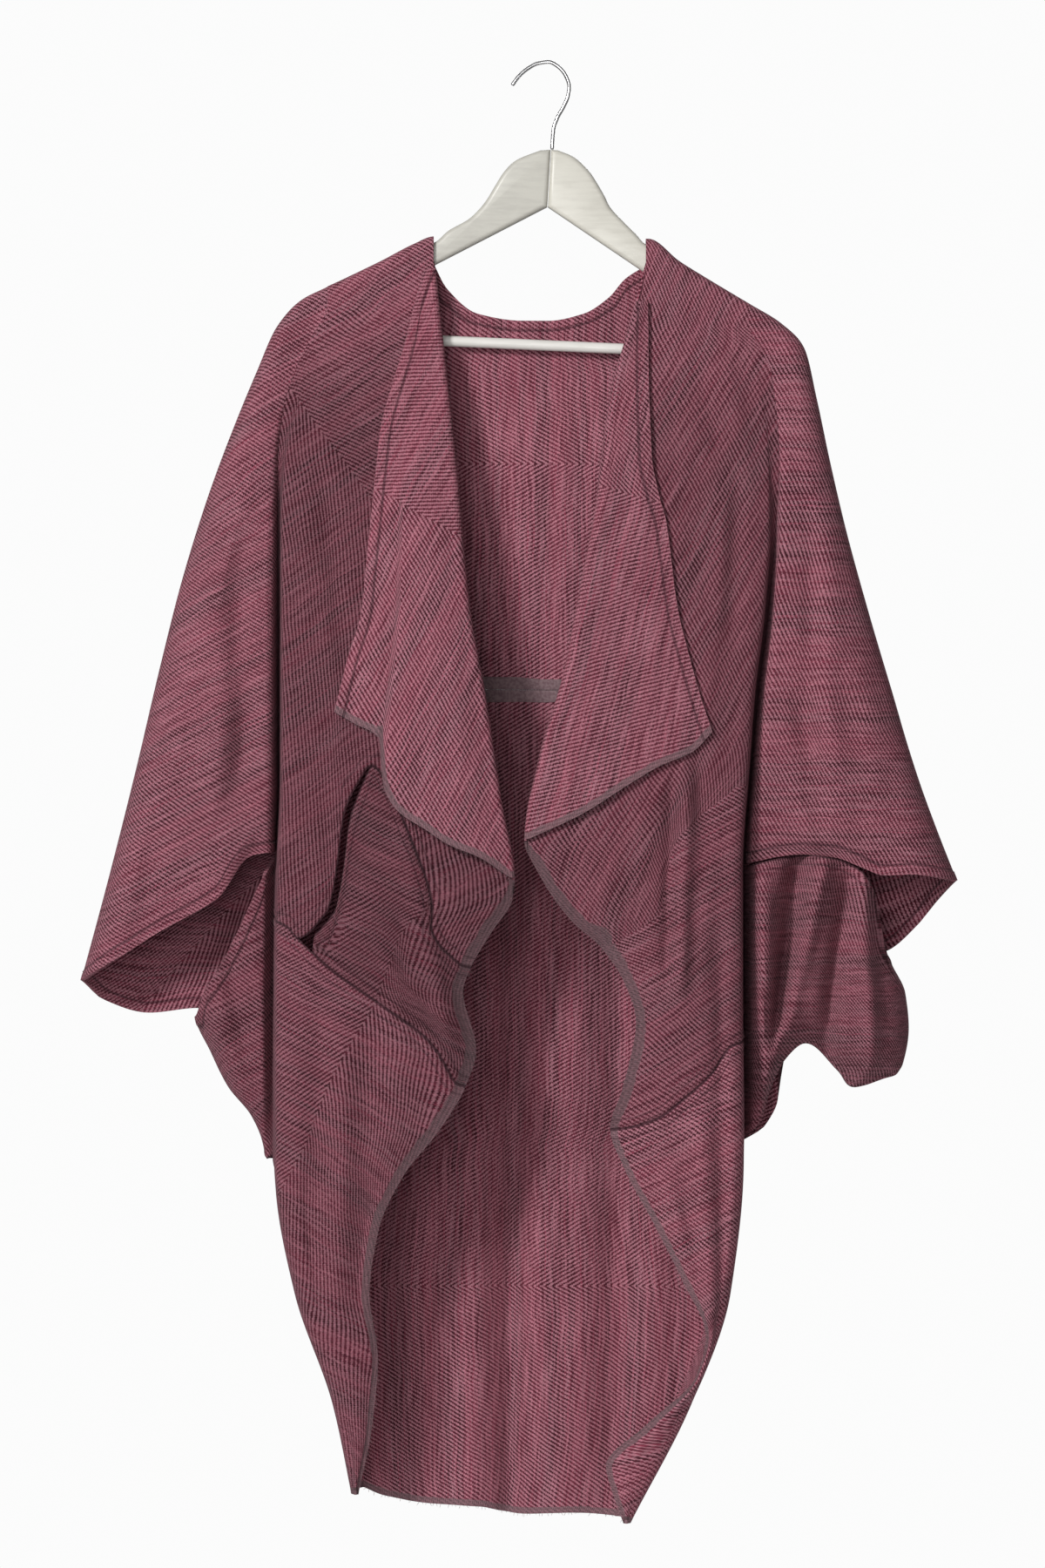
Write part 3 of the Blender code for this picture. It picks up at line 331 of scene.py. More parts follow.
# How far the end of each sleeve layer hangs below its straight line: share of the width, drop.
LEFT_CUFF_FRONT = smooth([(0, 0), (0.15, -10), (0.3, 8), (0.6, 3), (1, 0)])
LEFT_CUFF_BACK = smooth([(0, 0), (0.4, 6), (0.72, 19), (0.9, 14), (1, 0)])
RIGHT_CUFF_FRONT = smooth([
    (0, 0), (0.16, -9), (0.3, -13), (0.42, -12), (0.55, -5), (0.64, 0), (0.8, -3), (1, 0),
])
RIGHT_CUFF_BACK = smooth([(0, 0), (0.3, 16), (0.62, 37), (0.8, 25), (0.9, 12), (1, 0)])
VALLEY = smooth([(0, 0), (0.25, 0.5), (0.5, 0.88), (1, 1)])

# Side pieces below the sleeves by level: how far out they reach, and the depth of the front face.
LEFT_SIDE = table("z x_outer y_face", [
    (-680, -305, -14),
    (-800, -305, -12),
    (-820, -304, -10),
    (-850, -291, -8),
    (-880, -276, -5),
    (-905, -256, 0),
    (-925, -247, 5),
    (-943, -243, 9),
])
RIGHT_SIDE = table("z x_outer y_face", [
    (-672, 292, -34),
    (-766, 293, -38),
    (-800, 307, -38),
    (-830, 310, -34),
    (-861, 305, -26),
    (-885, 285, -16),
    (-928, 270, -6),
])

# Start and end of each side piece: position round it (0 inner line, 1 outer fold, 2 back), level.
LEFT_SIDE_START = smooth([
    (0, -680), (0.2, -709), (0.42, -743), (0.65, -774), (0.85, -797), (1, -820), (2, -820.5),
])
LEFT_SIDE_END = smooth([(0, -940), (1, -943), (2, -944)])
RIGHT_SIDE_START = smooth([
    (0, -690), (0.236, -683), (0.44, -680.5), (0.62, -683.5), (0.72, -688), (0.81, -695), (0.9, -712),
    (1, -768), (2, -768.5),
])
RIGHT_SIDE_END = smooth([
    (0, -926), (0.12, -912), (0.24, -860), (0.38, -843), (0.6, -866), (0.8, -881), (1, -872), (1.3, -868),
    (1.55, -848), (1.75, -838), (1.93, -848), (2, -892),
])

# The largest folds, each a soft ridge (lift above 0, towards the viewer) or trough along a line.
FRONT_FOLDS = [
    # x_top, z_top, x_bottom, z_bottom, half_width, lift
    (-131, -640, -88, -815, 10, 7),
    (-150, -780, -160, -1040, 14, -6),
    (-196, -760, -200, -1000, 11, -5),
    (119, -585, 112, -770, 7, 9),
    (105, -600, 100, -760, 6, -6),
    (146, -700, 150, -1060, 7, -6),
    (128, -870, 140, -1080, 8, 4),
]
BACK_FOLDS = [
    (-60, -660, -68, -1250, 17, 9),
    (-28, -600, -34, -1250, 10, -12),
    (20, -640, 12, -1250, 24, 8),
    (64, -640, 58, -1250, 15, -8),
    (-118, -560, -108, -1200, 18, 6),
    (-160, -560, -140, -1200, 16, -6),
    (110, -560, 92, -1150, 16, 7),
]
SIDE_FOLDS = [
    (184, -680, 186, -900, 9, 16),
    (216, -660, 196, -820, 10, -24),
    (242, -660, 201, -830, 8, 15),
    (258, -680, 236, -850, 9, -18),
    (270, -670, 276, -860, 8, 12),
]

# The smaller creases, each a ridge (lift above 0, towards the viewer) or a trough along a bent line.
FRONT_CREASES = [
    # x_start, z_start, x_end, z_end, half_width, lift, bend
    (-208, -250, -160, -420, 9, 3.0, 6),
    (-188, -230, -150, -330, 7, -2.2, 4),
    (-222, -420, -196, -700, 8, -2.6, 5),
    (-206, -380, -176, -640, 9, 2.4, -6),
    (-186, -620, -168, -730, 6, 2.2, 3),
    (-140, -640, -60, -790, 7, -2.4, 8),
    (-120, -660, -70, -740, 5, 2.2, -4),
    (-226, -780, -206, -1000, 8, 4.4, 4),
    (-215, -300, -215, -620, 7, 3.6, -4),
    (-196, -300, -168, -560, 10, -4.0, 6),
    (-206, -560, -180, -760, 9, -4.2, -5),
    (-176, -800, -184, -1080, 8, 2.6, -5),
    (-120, -800, -96, -880, 6, -2.0, 4),
    (-214, -900, -190, -1120, 5, -2.4, 3),
    (150, -240, 176, -420, 9, 4.6, -5),
    (168, -300, 160, -560, 8, -4.2, 4),
    (148, -330, 134, -560, 8, 3.6, -5),
    (120, -560, 150, -700, 9, -3.6, 6),
    (120, -230, 150, -380, 8, -2.4, -4),
    (172, -420, 156, -600, 8, -2.6, -4),
    (130, -420, 146, -620, 9, 2.2, 5),
    (100, -640, 60, -760, 7, -2.2, -5),
    (150, -620, 128, -820, 6, 2.6, 4),
    (158, -820, 150, -1080, 5, 3.0, -4),
    (110, -920, 138, -1080, 7, -2.4, 4),
    (90, -930, 120, -1040, 6, 2.0, -3),
    (100, -1060, 60, -1200, 9, -2.6, 4),
]
LAPEL_CREASES = [
    (-100, -260, -120, -520, 10, 2.0, 5),
    (-84, -330, -96, -600, 8, -1.6, -4),
    (-132, -420, -150, -560, 9, 1.8, 4),
    (-60, -560, -50, -690, 7, 1.8, 4),
    (-110, -560, -90, -660, 8, -1.5, 5),
    (86, -260, 70, -500, 9, 1.8, -5),
    (50, -380, 66, -600, 9, -1.6, 4),
    (96, -430, 84, -590, 8, 1.8, 4),
    (10, -560, 20, -650, 7, 1.6, -3),
    (40, -520, 90, -600, 9, 1.5, 5),
]
BACK_CREASES = [
    (-40, -240, -60, -520, 14, 2.5, 6),
    (20, -230, 34, -520, 12, -2.5, -6),
    (-6, -240, -14, -530, 9, 2.0, 4),
    (-180, -240, -140, -520, 13, 3.0, 8),
    (150, -250, 110, -520, 13, 3.0, -8),
    (-110, -230, -96, -500, 11, -2.4, 5),
    (80, -230, 84, -500, 11, -2.4, -5),
    (-50, -760, -40, -1250, 9, -3.0, 4),
    (-8, -820, -14, -1252, 11, 3.4, -5),
    (24, -900, 16, -1254, 12, -2.6, 5),
    (-100, -900, -118, -1245, 11, 3.0, 5),
    (-190, -600, -170, -1000, 14, 3.4, 8),
    (160, -600, 140, -1000, 14, 3.4, -8),
    (-210, -500, -196, -760, 10, -3.0, 4),
    (184, -500, 172, -780, 10, -3.0, -4),
    (40, -600, 90, -900, 12, 2.4, 6),
    (-80, -580, -120, -860, 12, 2.4, -6),
]
SLEEVE_CREASES = [
    (-262, -330, -252, -700, 12, -6.0, 8),
    (-286, -400, -290, -760, 12, 5.5, -8),
    (-318, -460, -350, -800, 12, -5.0, 6),
    (-226, -300, -300, -520, 10, 3.2, 8),
    (-240, -290, -330, -560, 8, -2.8, 5),
    (-236, -420, -330, -700, 11, 3.4, -8),
    (-236, -520, -300, -740, 9, -3.2, 6),
    (-300, -520, -370, -760, 9, 2.8, 5),
    (-244, -640, -290, -720, 7, 2.6, -4),
    (-340, -600, -386, -740, 7, -2.4, 4),
    (-246, -690, -308, -800, 8, 8.0, -4),
    (222, -330, 214, -660, 12, -6.0, -8),
    (240, -380, 250, -680, 12, 5.5, 8),
    (270, -460, 300, -690, 12, -5.0, -6),
    (204, -300, 250, -480, 10, 3.2, -8),
    (214, -290, 262, -520, 8, -2.8, -5),
    (200, -420, 270, -640, 11, 3.4, 8),
    (196, -520, 240, -660, 9, -3.2, -6),
    (250, -500, 320, -660, 9, 2.8, -5),
    (206, -600, 236, -690, 7, 2.6, 4),
    (290, -580, 330, -680, 7, -2.4, -4),
]
BAG_CREASES = [
    (-300, -700, -270, -860, 8, 3.2, 6),
    (-282, -700, -250, -900, 7, -3.0, 4),
    (-262, -700, -244, -880, 6, 2.6, -4),
    (207, -730, 190, -860, 5, -4.0, 2),
    (228, -700, 212, -830, 5, -3.5, 3),
    (286, -730, 292, -860, 6, -4.0, 3),
]
WAVE_COUNT = 14
WAVE_LENGTHS = (34.0, 130.0)
WAVE_HEIGHT = 0.45

# The weave: the length of weft between two turns of its ridges, the width of its yarns, the slope of the
# ridges, and the painted shade in the depth of a seam and along a pressed hem. The shoulders all have one
# even painted shade, which takes over from each piece's own painted shade between these levels in metres.
WEFT_REPEAT = 712.0
WEFT_YARN, WARP_YARN = 1.55, 1.25
RIDGE_SLOPE = (0.5, 0.866)
SEAM_SHADE = (0.035, 0.012, 0.018, 1)
SHOULDER_PAINTED_SHADE = (0.93, 0.93, 0.93, 1)
PAINTED_SHADE_LEVELS = (-0.33, -0.17)

# The cut of each piece, laid flat, in metres and square metres. Its weft runs at this angle from the
# horizontal, its ridges turn over at this place along the weft, and its colour is multiplied by its painted
# shade: below 1 for the pieces that lie in shade, above 1 as painted light on pieces that catch more light.
CUTS = {
    # name: width, length, area, weft angle, reversal, painted shade, rests on
    "front_left_upper": (0.24, 0.60, 0.109, 35, -1052, 0.52, ("hanger_arm_left",)),
    "front_left_middle": (0.16, 0.17, 0.0176, -28, -465, 0.46, ("cloth_front_left_lower",)),
    "front_left_lower": (0.26, 0.52, 0.081, -28, -465, 0.66, ("cloth_back_lower",)),
    "lapel_left": (0.17, 0.53, 0.042, 62, -1107, 0.97, ("cloth_front_left_upper",)),
    "front_right_upper": (0.24, 0.60, 0.097, 60, -700, 0.64, ("hanger_arm_right",)),
    "front_right_middle": (0.24, 0.29, 0.037, 30, -1400, 0.74, ("cloth_front_right_lower",)),
    "front_right_lower": (0.24, 0.42, 0.058, 25, -1400, 1.0, ("cloth_back_lower",)),
    "lapel_right": (0.17, 0.47, 0.034, 76, -344, 0.96, ("cloth_front_right_upper",)),
    "back_upper": (0.46, 0.40, 0.144, 90, -343, 1.12, ("hanger_arm_left", "hanger_arm_right")),
    "back_lower": (0.48, 0.73, 0.278, 90, -343, 1.02, ("cloth_back_upper",)),
    "sleeve_left": (0.40, 0.66, 0.137, 27, -1553, 0.9, ("cloth_back_upper",)),
    "sleeve_right": (0.36, 0.56, 0.114, 0, -808, 0.95, ("cloth_back_upper",)),
    "side_left": (0.16, 0.26, 0.021, 27, -1553, 0.7, ("cloth_sleeve_left",)),
    "side_right": (0.30, 0.24, 0.063, 0, -808, 0.84, ("cloth_sleeve_right",)),
}

# Turned edges, seams and sewing.
WALL = 2.0
HEM_WIDTH = 8.0
NECK_HEM_FROM = -165
HEM_THICKNESS = 0.7
SEAM_DIP = 0.85
SEAM_DIP_WIDTH = 1.8
SEAM_BAND = 8.0
SEAM_LIFT = 0.45
ALLOWANCE_WIDTH = 10.5
ALLOWANCE_LIFT = 1.1
ALLOWANCE_HALF = 0.4
ALLOWANCE_POINTS = 150

# Edges that turn by more than these degrees stay sharp, on the cloth and on the small pieces.
CLOTH_SHARPEST, SMALL_SHARPEST = 50, 40

# The stitches, and how far each row of them lies from its edge.
STITCH_LENGTH = 3.2
STITCH_SPACING = 4.4
STITCH_RADIUS = 0.32
CUFF_INSET, NECK_INSET, SEAM_INSET, POCKET_INSET = 7.6, 6.6, 3.6, 4.5
NECK_ENDS = 6.0
OVERCAST_INSET = 6.8
OVERCAST_SPACING = 6.5
OVERCAST_LENGTH = 4.0
OVERCAST_SLANT = 0.9

# The loose yarn ends. This share of them is missing.
FRAY_GAPS = 0.3
THREAD_SPACING = 2.6
THREAD_RADIUS = 0.14
THREAD_LENGTHS = (1.5, 4.5)

# The stage, in metres: the camera stands level, 6 m in front of the coat.
CAMERA_PLACE = (-0.0225, -6.0, -0.6195)
CAMERA_LENS, CAMERA_SENSOR = 160.0, 36.0
LIGHT_TARGET = (0.0, 0.0, -0.65)
LIGHTS = [
    # name, place, size, share of the key light's power
    ("key light", (-1.7, -2.7, 0.8), (0.6, 0.6), 1.0),
    ("fill light", (-0.5, -3.6, -0.4), (1.6, 1.6), 0.44),
    ("back light", (0.4, 2.6, 0.6), (2.0, 1.5), 0.35),
]
FLOOR_LEVEL = -1.42
FLOOR_RADIUS = 0.85

LEFT_FRONT = SimpleNamespace(
    word="left", inward=1, sections=LEFT, edge=LEFT_EDGE, roll=LEFT_ROLL, back_side=BACK_LEFT,
    upper_end=LEFT_UPPER_END, middle_start=LEFT_MIDDLE_START, lower_start=LEFT_LOWER_START,
    hem=-1228, wrap_from=-955, lapel_edge=LEFT_LAPEL_EDGE, lapel_end=LEFT_LAPEL_END, lapel_start=-178.0,
    lapel_step=0.63, roll_end=-700.0, visible=1,
)
RIGHT_FRONT = SimpleNamespace(
    word="right", inward=-1, sections=RIGHT, edge=RIGHT_EDGE, roll=RIGHT_ROLL, back_side=BACK_RIGHT,
    upper_end=RIGHT_UPPER_END, middle_start=-1, lower_start=RIGHT_LOWER_START,
    hem=-1253, wrap_from=-932, lapel_edge=RIGHT_LAPEL_EDGE, lapel_end=RIGHT_LAPEL_END, lapel_start=-205.0,
    lapel_step=0.0, roll_end=-668.0, visible=-1,
)
LEFT_ARM = SimpleNamespace(
    word="left", inward=-1, sections=LEFT, shape=LEFT_SLEEVE, back_side=BACK_LEFT,
    front_level=smooth(enumerate(LEFT_FRONT_LEVELS)), back_level=smooth(enumerate(LEFT_BACK_LEVELS)),
    last_row=10, cuff_front=LEFT_CUFF_FRONT, cuff_back=LEFT_CUFF_BACK, visible=-1,
)
RIGHT_ARM = SimpleNamespace(
    word="right", inward=1, sections=RIGHT, shape=RIGHT_SLEEVE, back_side=BACK_RIGHT,
    front_level=smooth(enumerate(RIGHT_FRONT_LEVELS)), back_level=smooth(enumerate(RIGHT_BACK_LEVELS)),
    last_row=11, cuff_front=RIGHT_CUFF_FRONT, cuff_back=RIGHT_CUFF_BACK, visible=1,
)
LEFT_BAG = SimpleNamespace(
    word="left", inward=-1, sections=LEFT, shape=LEFT_SIDE, back_side=BACK_LEFT,
    start=LEFT_SIDE_START, end=LEFT_SIDE_END, folds=[],
)
RIGHT_BAG = SimpleNamespace(
    word="right", inward=1, sections=RIGHT, shape=RIGHT_SIDE, back_side=BACK_RIGHT,
    start=RIGHT_SIDE_START, end=RIGHT_SIDE_END, folds=SIDE_FOLDS,
)
MAPS = ("weave", "selvedge", "hem", "seam")

# The face, middle and normals of each sheet of cloth once it is made, for its sewing.
sheets = {}


def settings():
    """The coat's settings in the open scene."""
    return bpy.context.scene.coat_settings


def eased(share):
    """A share from 0 to 1 that starts and ends softly."""
    return share * share * (3 - 2 * share)


def fold_lift(folds, x, z):
    """How far a point stands out at the folds, which fade in and out along their length."""
    lift = np.zeros(np.broadcast(x, z).shape)
    for x_top, z_top, x_bottom, z_bottom, half_width, height in folds:
        along = (z_top - z) / (z_top - z_bottom)
        middle = x_top + (x_bottom - x_top) * along
        fade = eased(np.clip(along * 4, 0, 1) * np.clip((1.25 - along) * 4, 0, 1))
        lift = lift + height * fade * np.exp(-(((x - middle) / half_width) ** 2))
    return lift


def crease_lift(creases, x, z):
    """Height of the small creases, which are deepest in the middle of their length."""
    lift = np.zeros(np.broadcast(x, z).shape)
    for x_start, z_start, x_end, z_end, half_width, height, bend in creases:
        across, down = x_end - x_start, z_end - z_start
        length = math.hypot(across, down)
        along = ((x - x_start) * across + (z - z_start) * down) / length**2
        off = ((x - x_start) * down - (z - z_start) * across) / length - bend * 4 * along * (1 - along)
        fade = np.sin(math.pi * np.clip(along, 0, 1)) ** 1.3
        lift = lift + height * fade * np.exp(-((off / half_width) ** 2))
    return lift * settings().crease_depth


def make_waves(seed):
    """Slow unevenness of handled cloth: a sum of waves with seeded directions."""
    draw = np.random.default_rng(seed)
    lengths = draw.uniform(*WAVE_LENGTHS, WAVE_COUNT)
    turns = draw.uniform(0, math.pi, WAVE_COUNT)
    phases = draw.uniform(0, 2 * math.pi, WAVE_COUNT)

    def height(x, z):
        total = 0.0
        for length, turn, phase in zip(lengths, turns, phases):
            total = total + np.sin((x * math.cos(turn) + z * math.sin(turn)) * 2 * math.pi / length + phase)
        return total * WAVE_HEIGHT / math.sqrt(WAVE_COUNT / 2)

    return height


FRONT_WAVES, BACK_WAVES, SLEEVE_WAVES = (make_waves(seed) for seed in WAVE_SEEDS)


def front_flat_depth(side, t, x, z):
    """Depth of a front at share t from its side fold to its edge: a parabola with the folds on it."""
    from_fold = side.y_fold(z) * (1 - t) * (1 - 2 * t)
    from_middle = side.y_middle(z) * 4 * t * (1 - t)
    from_edge = side.y_edge(z) * t * (2 * t - 1)
    near_sides = np.clip(t * 5, 0, 1) * np.clip((1 - t) * 8, 0, 1)
    lift = fold_lift(FRONT_FOLDS, x, z) + crease_lift(FRONT_CREASES, x, z) + FRONT_WAVES(x, z)
    below_shoulder = np.clip((-225 - z) / 40, 0, 1)
    return from_fold + from_middle + from_edge - lift * near_sides * below_shoulder


def inner_line(front, z):
    """The inner line of a front: the valley beside it, and below the side piece the back's side."""
    wrapped = eased(np.clip((front.wrap_from + WRAP_LENGTH / 2 - z) / WRAP_LENGTH, 0, 1))
    side = front.sections
    x = side.x_inner(z) + (front.back_side(z) - side.x_inner(z)) * wrapped
    y = side.y_inner(z) + (BACK.y_side(z) - side.y_inner(z)) * wrapped
    return x, y


def front_point(front, t, z):
    """A point of a front: t is -1 to 0 round the side fold, 0 to 1 across it and 1 to 2 round the roll."""
    side = front.sections
    x_fold, x_edge = side.x_fold(z), front.edge(z)
    turn = np.minimum(FOLD_TURN, 0.45 * np.abs(x_edge - x_fold))
    x_start = x_fold + front.inward * turn
    radius = front.roll(z)
    reach = np.minimum(np.maximum(radius, ROLL_REACH), 0.3 * np.abs(x_edge - x_fold))
    x_end = x_edge - front.inward * reach
    across = np.clip(t, 0, 1)
    x_flat = x_start + (x_end - x_start) * across
    y_flat = front_flat_depth(side, across, x_flat, z)
    turned = np.clip(t + 1, 0, 1)
    x_inner, y_inner = inner_line(front, z)
    x_turn = x_fold + (x_inner - x_fold) * FOLD_INNER(turned) + (x_start - x_fold) * FOLD_FRONT(turned)
    y_turn = y_inner + (y_flat - y_inner) * FOLD_DEPTH(turned)
    angle = np.clip(t - 1, 0, 1) * math.pi / 2
    x = np.where(t < 0, x_turn, x_flat) + front.inward * reach * np.sin(angle)
    y = np.where(t < 0, y_turn, y_flat) - radius * (1 - np.cos(angle))
    return x, y


def back_point(s, z):
    """A point of the back: s is 0 at its left side and 1 at its right side."""
    x = BACK_LEFT(z) + (BACK_RIGHT(z) - BACK_LEFT(z)) * s
    near_sides = np.clip(s * 6, 0, 1) * np.clip((1 - s) * 6, 0, 1)
    lift = fold_lift(BACK_FOLDS, x, z)
    lift = lift + (crease_lift(BACK_CREASES, x, z) + BACK_WAVES(x, z)) * np.clip((-215 - z) / 40, 0, 1)
    y = BACK.y_side(z) + BACK.fullness(z) * 4 * s * (1 - s) - lift * near_sides
    return x, y


def side_point(piece, u, z):
    """A point of a side piece: u is 0 at its inner line, 1 at the outer fold and 2 at the back."""
    shape = piece.shape
    x_outer = shape.x_outer(z)
    from_front = u <= 1
    x_inner = np.where(from_front, piece.sections.x_inner(z), piece.back_side(z))
    share = np.where(from_front, u, 2 - u)
    x = x_inner + (x_outer - x_inner) * share
    y_back = BACK.y_side(z)
    face = np.where(from_front, shape.y_face(z), y_back)
    length = np.abs(x_outer - x_inner) + 1e-6
    turn = np.clip(np.abs(face - SIDE_MIDDLE) / length, 0.1, 0.45)
    beyond = np.clip((share - 1 + turn) / turn, 0, 1)
    y = SIDE_MIDDLE + (face - SIDE_MIDDLE) * np.sqrt(np.clip(1 - beyond**2, 0, 1))
    near = eased(np.clip(share * length / SLEEVE_VALLEY, 0, 1))
    y_start = np.where(from_front, piece.sections.y_inner(z), y_back)
    y = y_start + (y - y_start) * near
    lift = fold_lift(piece.folds, x, z) + crease_lift(BAG_CREASES, x, z)
    lift = lift * np.clip(share * length / 14, 0, 1) * np.clip((1 - share) * 5, 0, 1)
    y = y - np.where(from_front, lift, 0)
    below = np.clip(1 - (z - piece.end(u)) / SIDE_CLOSING, 0, 1)
    closing = 0.75 * below * below * np.clip(share * length / 20, 0, 1)
    return x, y + (SIDE_MIDDLE + 6 - y) * closing


def lapel_point(front, w, z):
    """A point of a lapel: w is -1 to 0 round the second half of the roll and 0 to 1 out to its edge."""
    x_edge = front.edge(z)
    radius = front.roll(z)
    reach = np.maximum(radius, ROLL_REACH)
    x_start = x_edge - front.inward * reach
    x_flat = x_start + (front.lapel_edge(z) - x_start) * np.clip(w, 0, 1)
    share = front_share(front, x_flat, z)
    below = front_flat_depth(front.sections, np.clip(share, 0, 1), x_flat, z)
    spread = np.clip(w, 0, 1) ** 0.7
    stand_off = 2 * radius + (LAPEL_STAND_OFF - 2 * radius) * spread
    step = LAPEL_STEP * np.clip((front.lapel_step - w) * 26 + 0.5, 0, 1) * np.clip((-300 - z) / 200, 0, 1)
    y_flat = below - np.maximum(stand_off, 2 * radius * (w < 0.02)) - step * np.clip(w * 6, 0, 1)
    fade = np.clip(w * 6, 0, 1) * np.clip((front.lapel_start - z) / 50, 0, 1)
    y_flat = y_flat - np.maximum(crease_lift(LAPEL_CREASES, x_flat, z) * fade, -LAPEL_DEEPEST_CREASE)
    angle = np.clip(-w, 0, 1) * math.pi / 2
    y_edge = front_flat_depth(front.sections, np.ones_like(z), x_start, z)
    x_round = x_start + front.inward * reach * np.sin(angle)
    y_round = y_edge - 2 * radius + radius * (1 - np.cos(angle))
    return np.where(w < 0, x_round, x_flat), np.where(w < 0, y_round, y_flat)


def front_share(front, x, z):
    """The share of the way across a front at which x lies."""
    x_start = front_point(front, np.zeros_like(x), z)[0]
    x_end = front_point(front, np.ones_like(x), z)[0]
    return (x - x_start) / (x_end - x_start)


def sleeve_section(sleeve, row, shares):
    """One section of a sleeve: front layer, turn at the outer edge, back layer."""
    shape = sleeve.shape
    z_front, z_back = float(sleeve.front_level(row)), float(sleeve.back_level(row))
    outer = np.array([float(shape.x_outer(row)), float(shape.z_outer(row))])
    y_outer = float(shape.y_outer(row))
    hang = max(0.0, row - sleeve.last_row + 1) ** 2
    layers = (
        (float(sleeve.sections.x_inner(z_front)), z_front, float(sleeve.sections.y_inner(z_front)),
         float(shape.y_front(row)), sleeve.cuff_front, 1),
        (float(sleeve.back_side(z_back)), z_back, float(BACK.y_side(z_back)),
         float(shape.y_back(row)), sleeve.cuff_back, -1),
    )
    points = []
    for x_inner, z_inner, y_inner, y_face, cuff, direction in layers:
        length = max(math.hypot(outer[0] - x_inner, outer[1] - z_inner), 1e-6)
        turn = min(0.45, abs(y_face - y_outer) / length)
        near = min(SLEEVE_VALLEY / length, 0.3)
        valley, flat, angle = shares.valley * near, near + (1 - turn - near) * shares.flat, shares.turn
        share = np.concatenate([valley, flat, 1 - turn + turn * np.sin(angle)])
        x = x_inner + (outer[0] - x_inner) * share
        z = z_inner + (outer[1] - z_inner) * share
        depth = np.concatenate([np.ones(len(valley) + len(flat)), np.cos(angle)])
        y = y_outer + (y_face - y_outer) * depth
        fade = np.clip(share * length / 30, 0, 1) * np.clip((1 - share) * length / 24, 0, 1)
        fade = fade * np.clip((-250 - z) / 50, 0, 1)
        y = y - (crease_lift(SLEEVE_CREASES, x, z) * direction + SLEEVE_WAVES(x, z)) * fade
        y[: len(valley)] = y_inner + (y_face - y_inner) * VALLEY(shares.valley)
        z = z - cuff(share) * hang
        layer = np.stack([x, y, z], 1)
        points.append(layer if direction == 1 else layer[-2::-1])
    return np.concatenate(points)


def pocket_mouth(t):
    """Top of the left middle piece: the seam's line, set off from it where the pocket is open."""
    opened = np.clip((POCKET_TOP - t) * 10, 0, 1)
    return LEFT_UPPER_END(t - POCKET_SHIFT * opened) - POCKET_DROP * opened


def at_neck(x, inset=0.0):
    """Whether a place lies over the neck, at least this far in from its ends."""
    return (x > NECK_LEFT + inset) & (x < NECK_RIGHT - inset)


def back_top(x):
    """Level of the back's upper edge: the neck hem, and the shoulders on both sides of it."""
    return np.where(at_neck(x), NECK_HEM(x), SHOULDER(x) - SHOULDER_DROP)


def back_seam(s):
    """Level of the seam across the back."""
    return BACK_SEAM[0] + (BACK_SEAM[1] - BACK_SEAM[0]) * s


def back_line(s, line):
    """Levels at which the columns of the back meet a line given by x."""
    z = np.full(len(s), line(0.0) if line is not back_top else -190.0)
    for _ in range(SETTLING_ROUNDS):
        z = line(back_point(s, z)[0])
    return z


def place(point, stations, z):
    """Points of a surface at stations across it and at levels."""
    x, y = point(stations, z)
    return np.stack([x, y, z + 0 * x], 1)


def sheet_grid(point, stations, starts, ends, shares):
    """Points and normals of a sheet between two lines across it."""
    grid, normals = [], []
    for share in shares:
        z = starts + (ends - starts) * share
        grid.append(place(point, stations, z))
        across = place(point, stations + 0.01, z) - place(point, stations - 0.01, z)
        down = place(point, stations, z - 1) - place(point, stations, z + 1)
        normals.append(unit(np.cross(down, across)))
    return np.array(grid), np.array(normals)


def shoulder_start(front, stations):
    """Where each column of a front leaves the shoulder's turn."""
    starts = np.full(len(stations), -200.0)
    for _ in range(SETTLING_ROUNDS):
        starts = SHOULDER(front_point(front, stations, starts)[0]) - SHOULDER_DROP
    return starts


def shoulder_rows(x, starts):
    """The turn of the cloth over the hanger's arm, from the back to the front."""
    rows = [np.stack([x, np.full_like(x, SHOULDER_RADIUS), starts], 1)]
    rows.append(np.stack([x, np.full_like(x, SHOULDER_RADIUS), starts * 0.4 + 0.6 * (SHOULDER(x) - 9)], 1))
    for degrees in range(90, -91, -15):
        angle = math.radians(degrees)
        height = SHOULDER(x) - SHOULDER_RADIUS * (1 - math.cos(angle))
        rows.append(np.stack([x, np.full_like(x, SHOULDER_RADIUS * math.sin(angle)), height], 1))
    return np.array(rows)


def unit(vectors):
    """Vectors made one long."""
    lengths = np.linalg.norm(vectors, axis=-1, keepdims=True)
    return vectors / np.maximum(lengths, 1e-9)


def surface_normals(grid):
    """Directions square to a grid of points."""
    return unit(np.cross(np.gradient(grid, axis=0), np.gradient(grid, axis=1)))


def steps(length, near_start=(), near_end=(), step=GRID_STEP):
    """Shares of a length at an even step, with further points at distances from its two ends."""
    even = np.linspace(0, length, max(2, round(length / step)) + 1)
    extra = list(near_start) + [length - distance for distance in near_end]
    kept = [value for value in even[1:-1] if all(abs(value - other) > 0.3 * step for other in extra)]
    return np.array(sorted([0.0, length] + extra + kept)) / length


TURN_ROUND = {
    "top": (lambda g: g, lambda g: g),
    "bottom": (lambda g: g[::-1], lambda g: g[::-1]),
    "left": (lambda g: g.swapaxes(0, 1), lambda g: g.swapaxes(0, 1)),
    "right": (lambda g: g.swapaxes(0, 1)[::-1], lambda g: g[::-1].swapaxes(0, 1)),
}


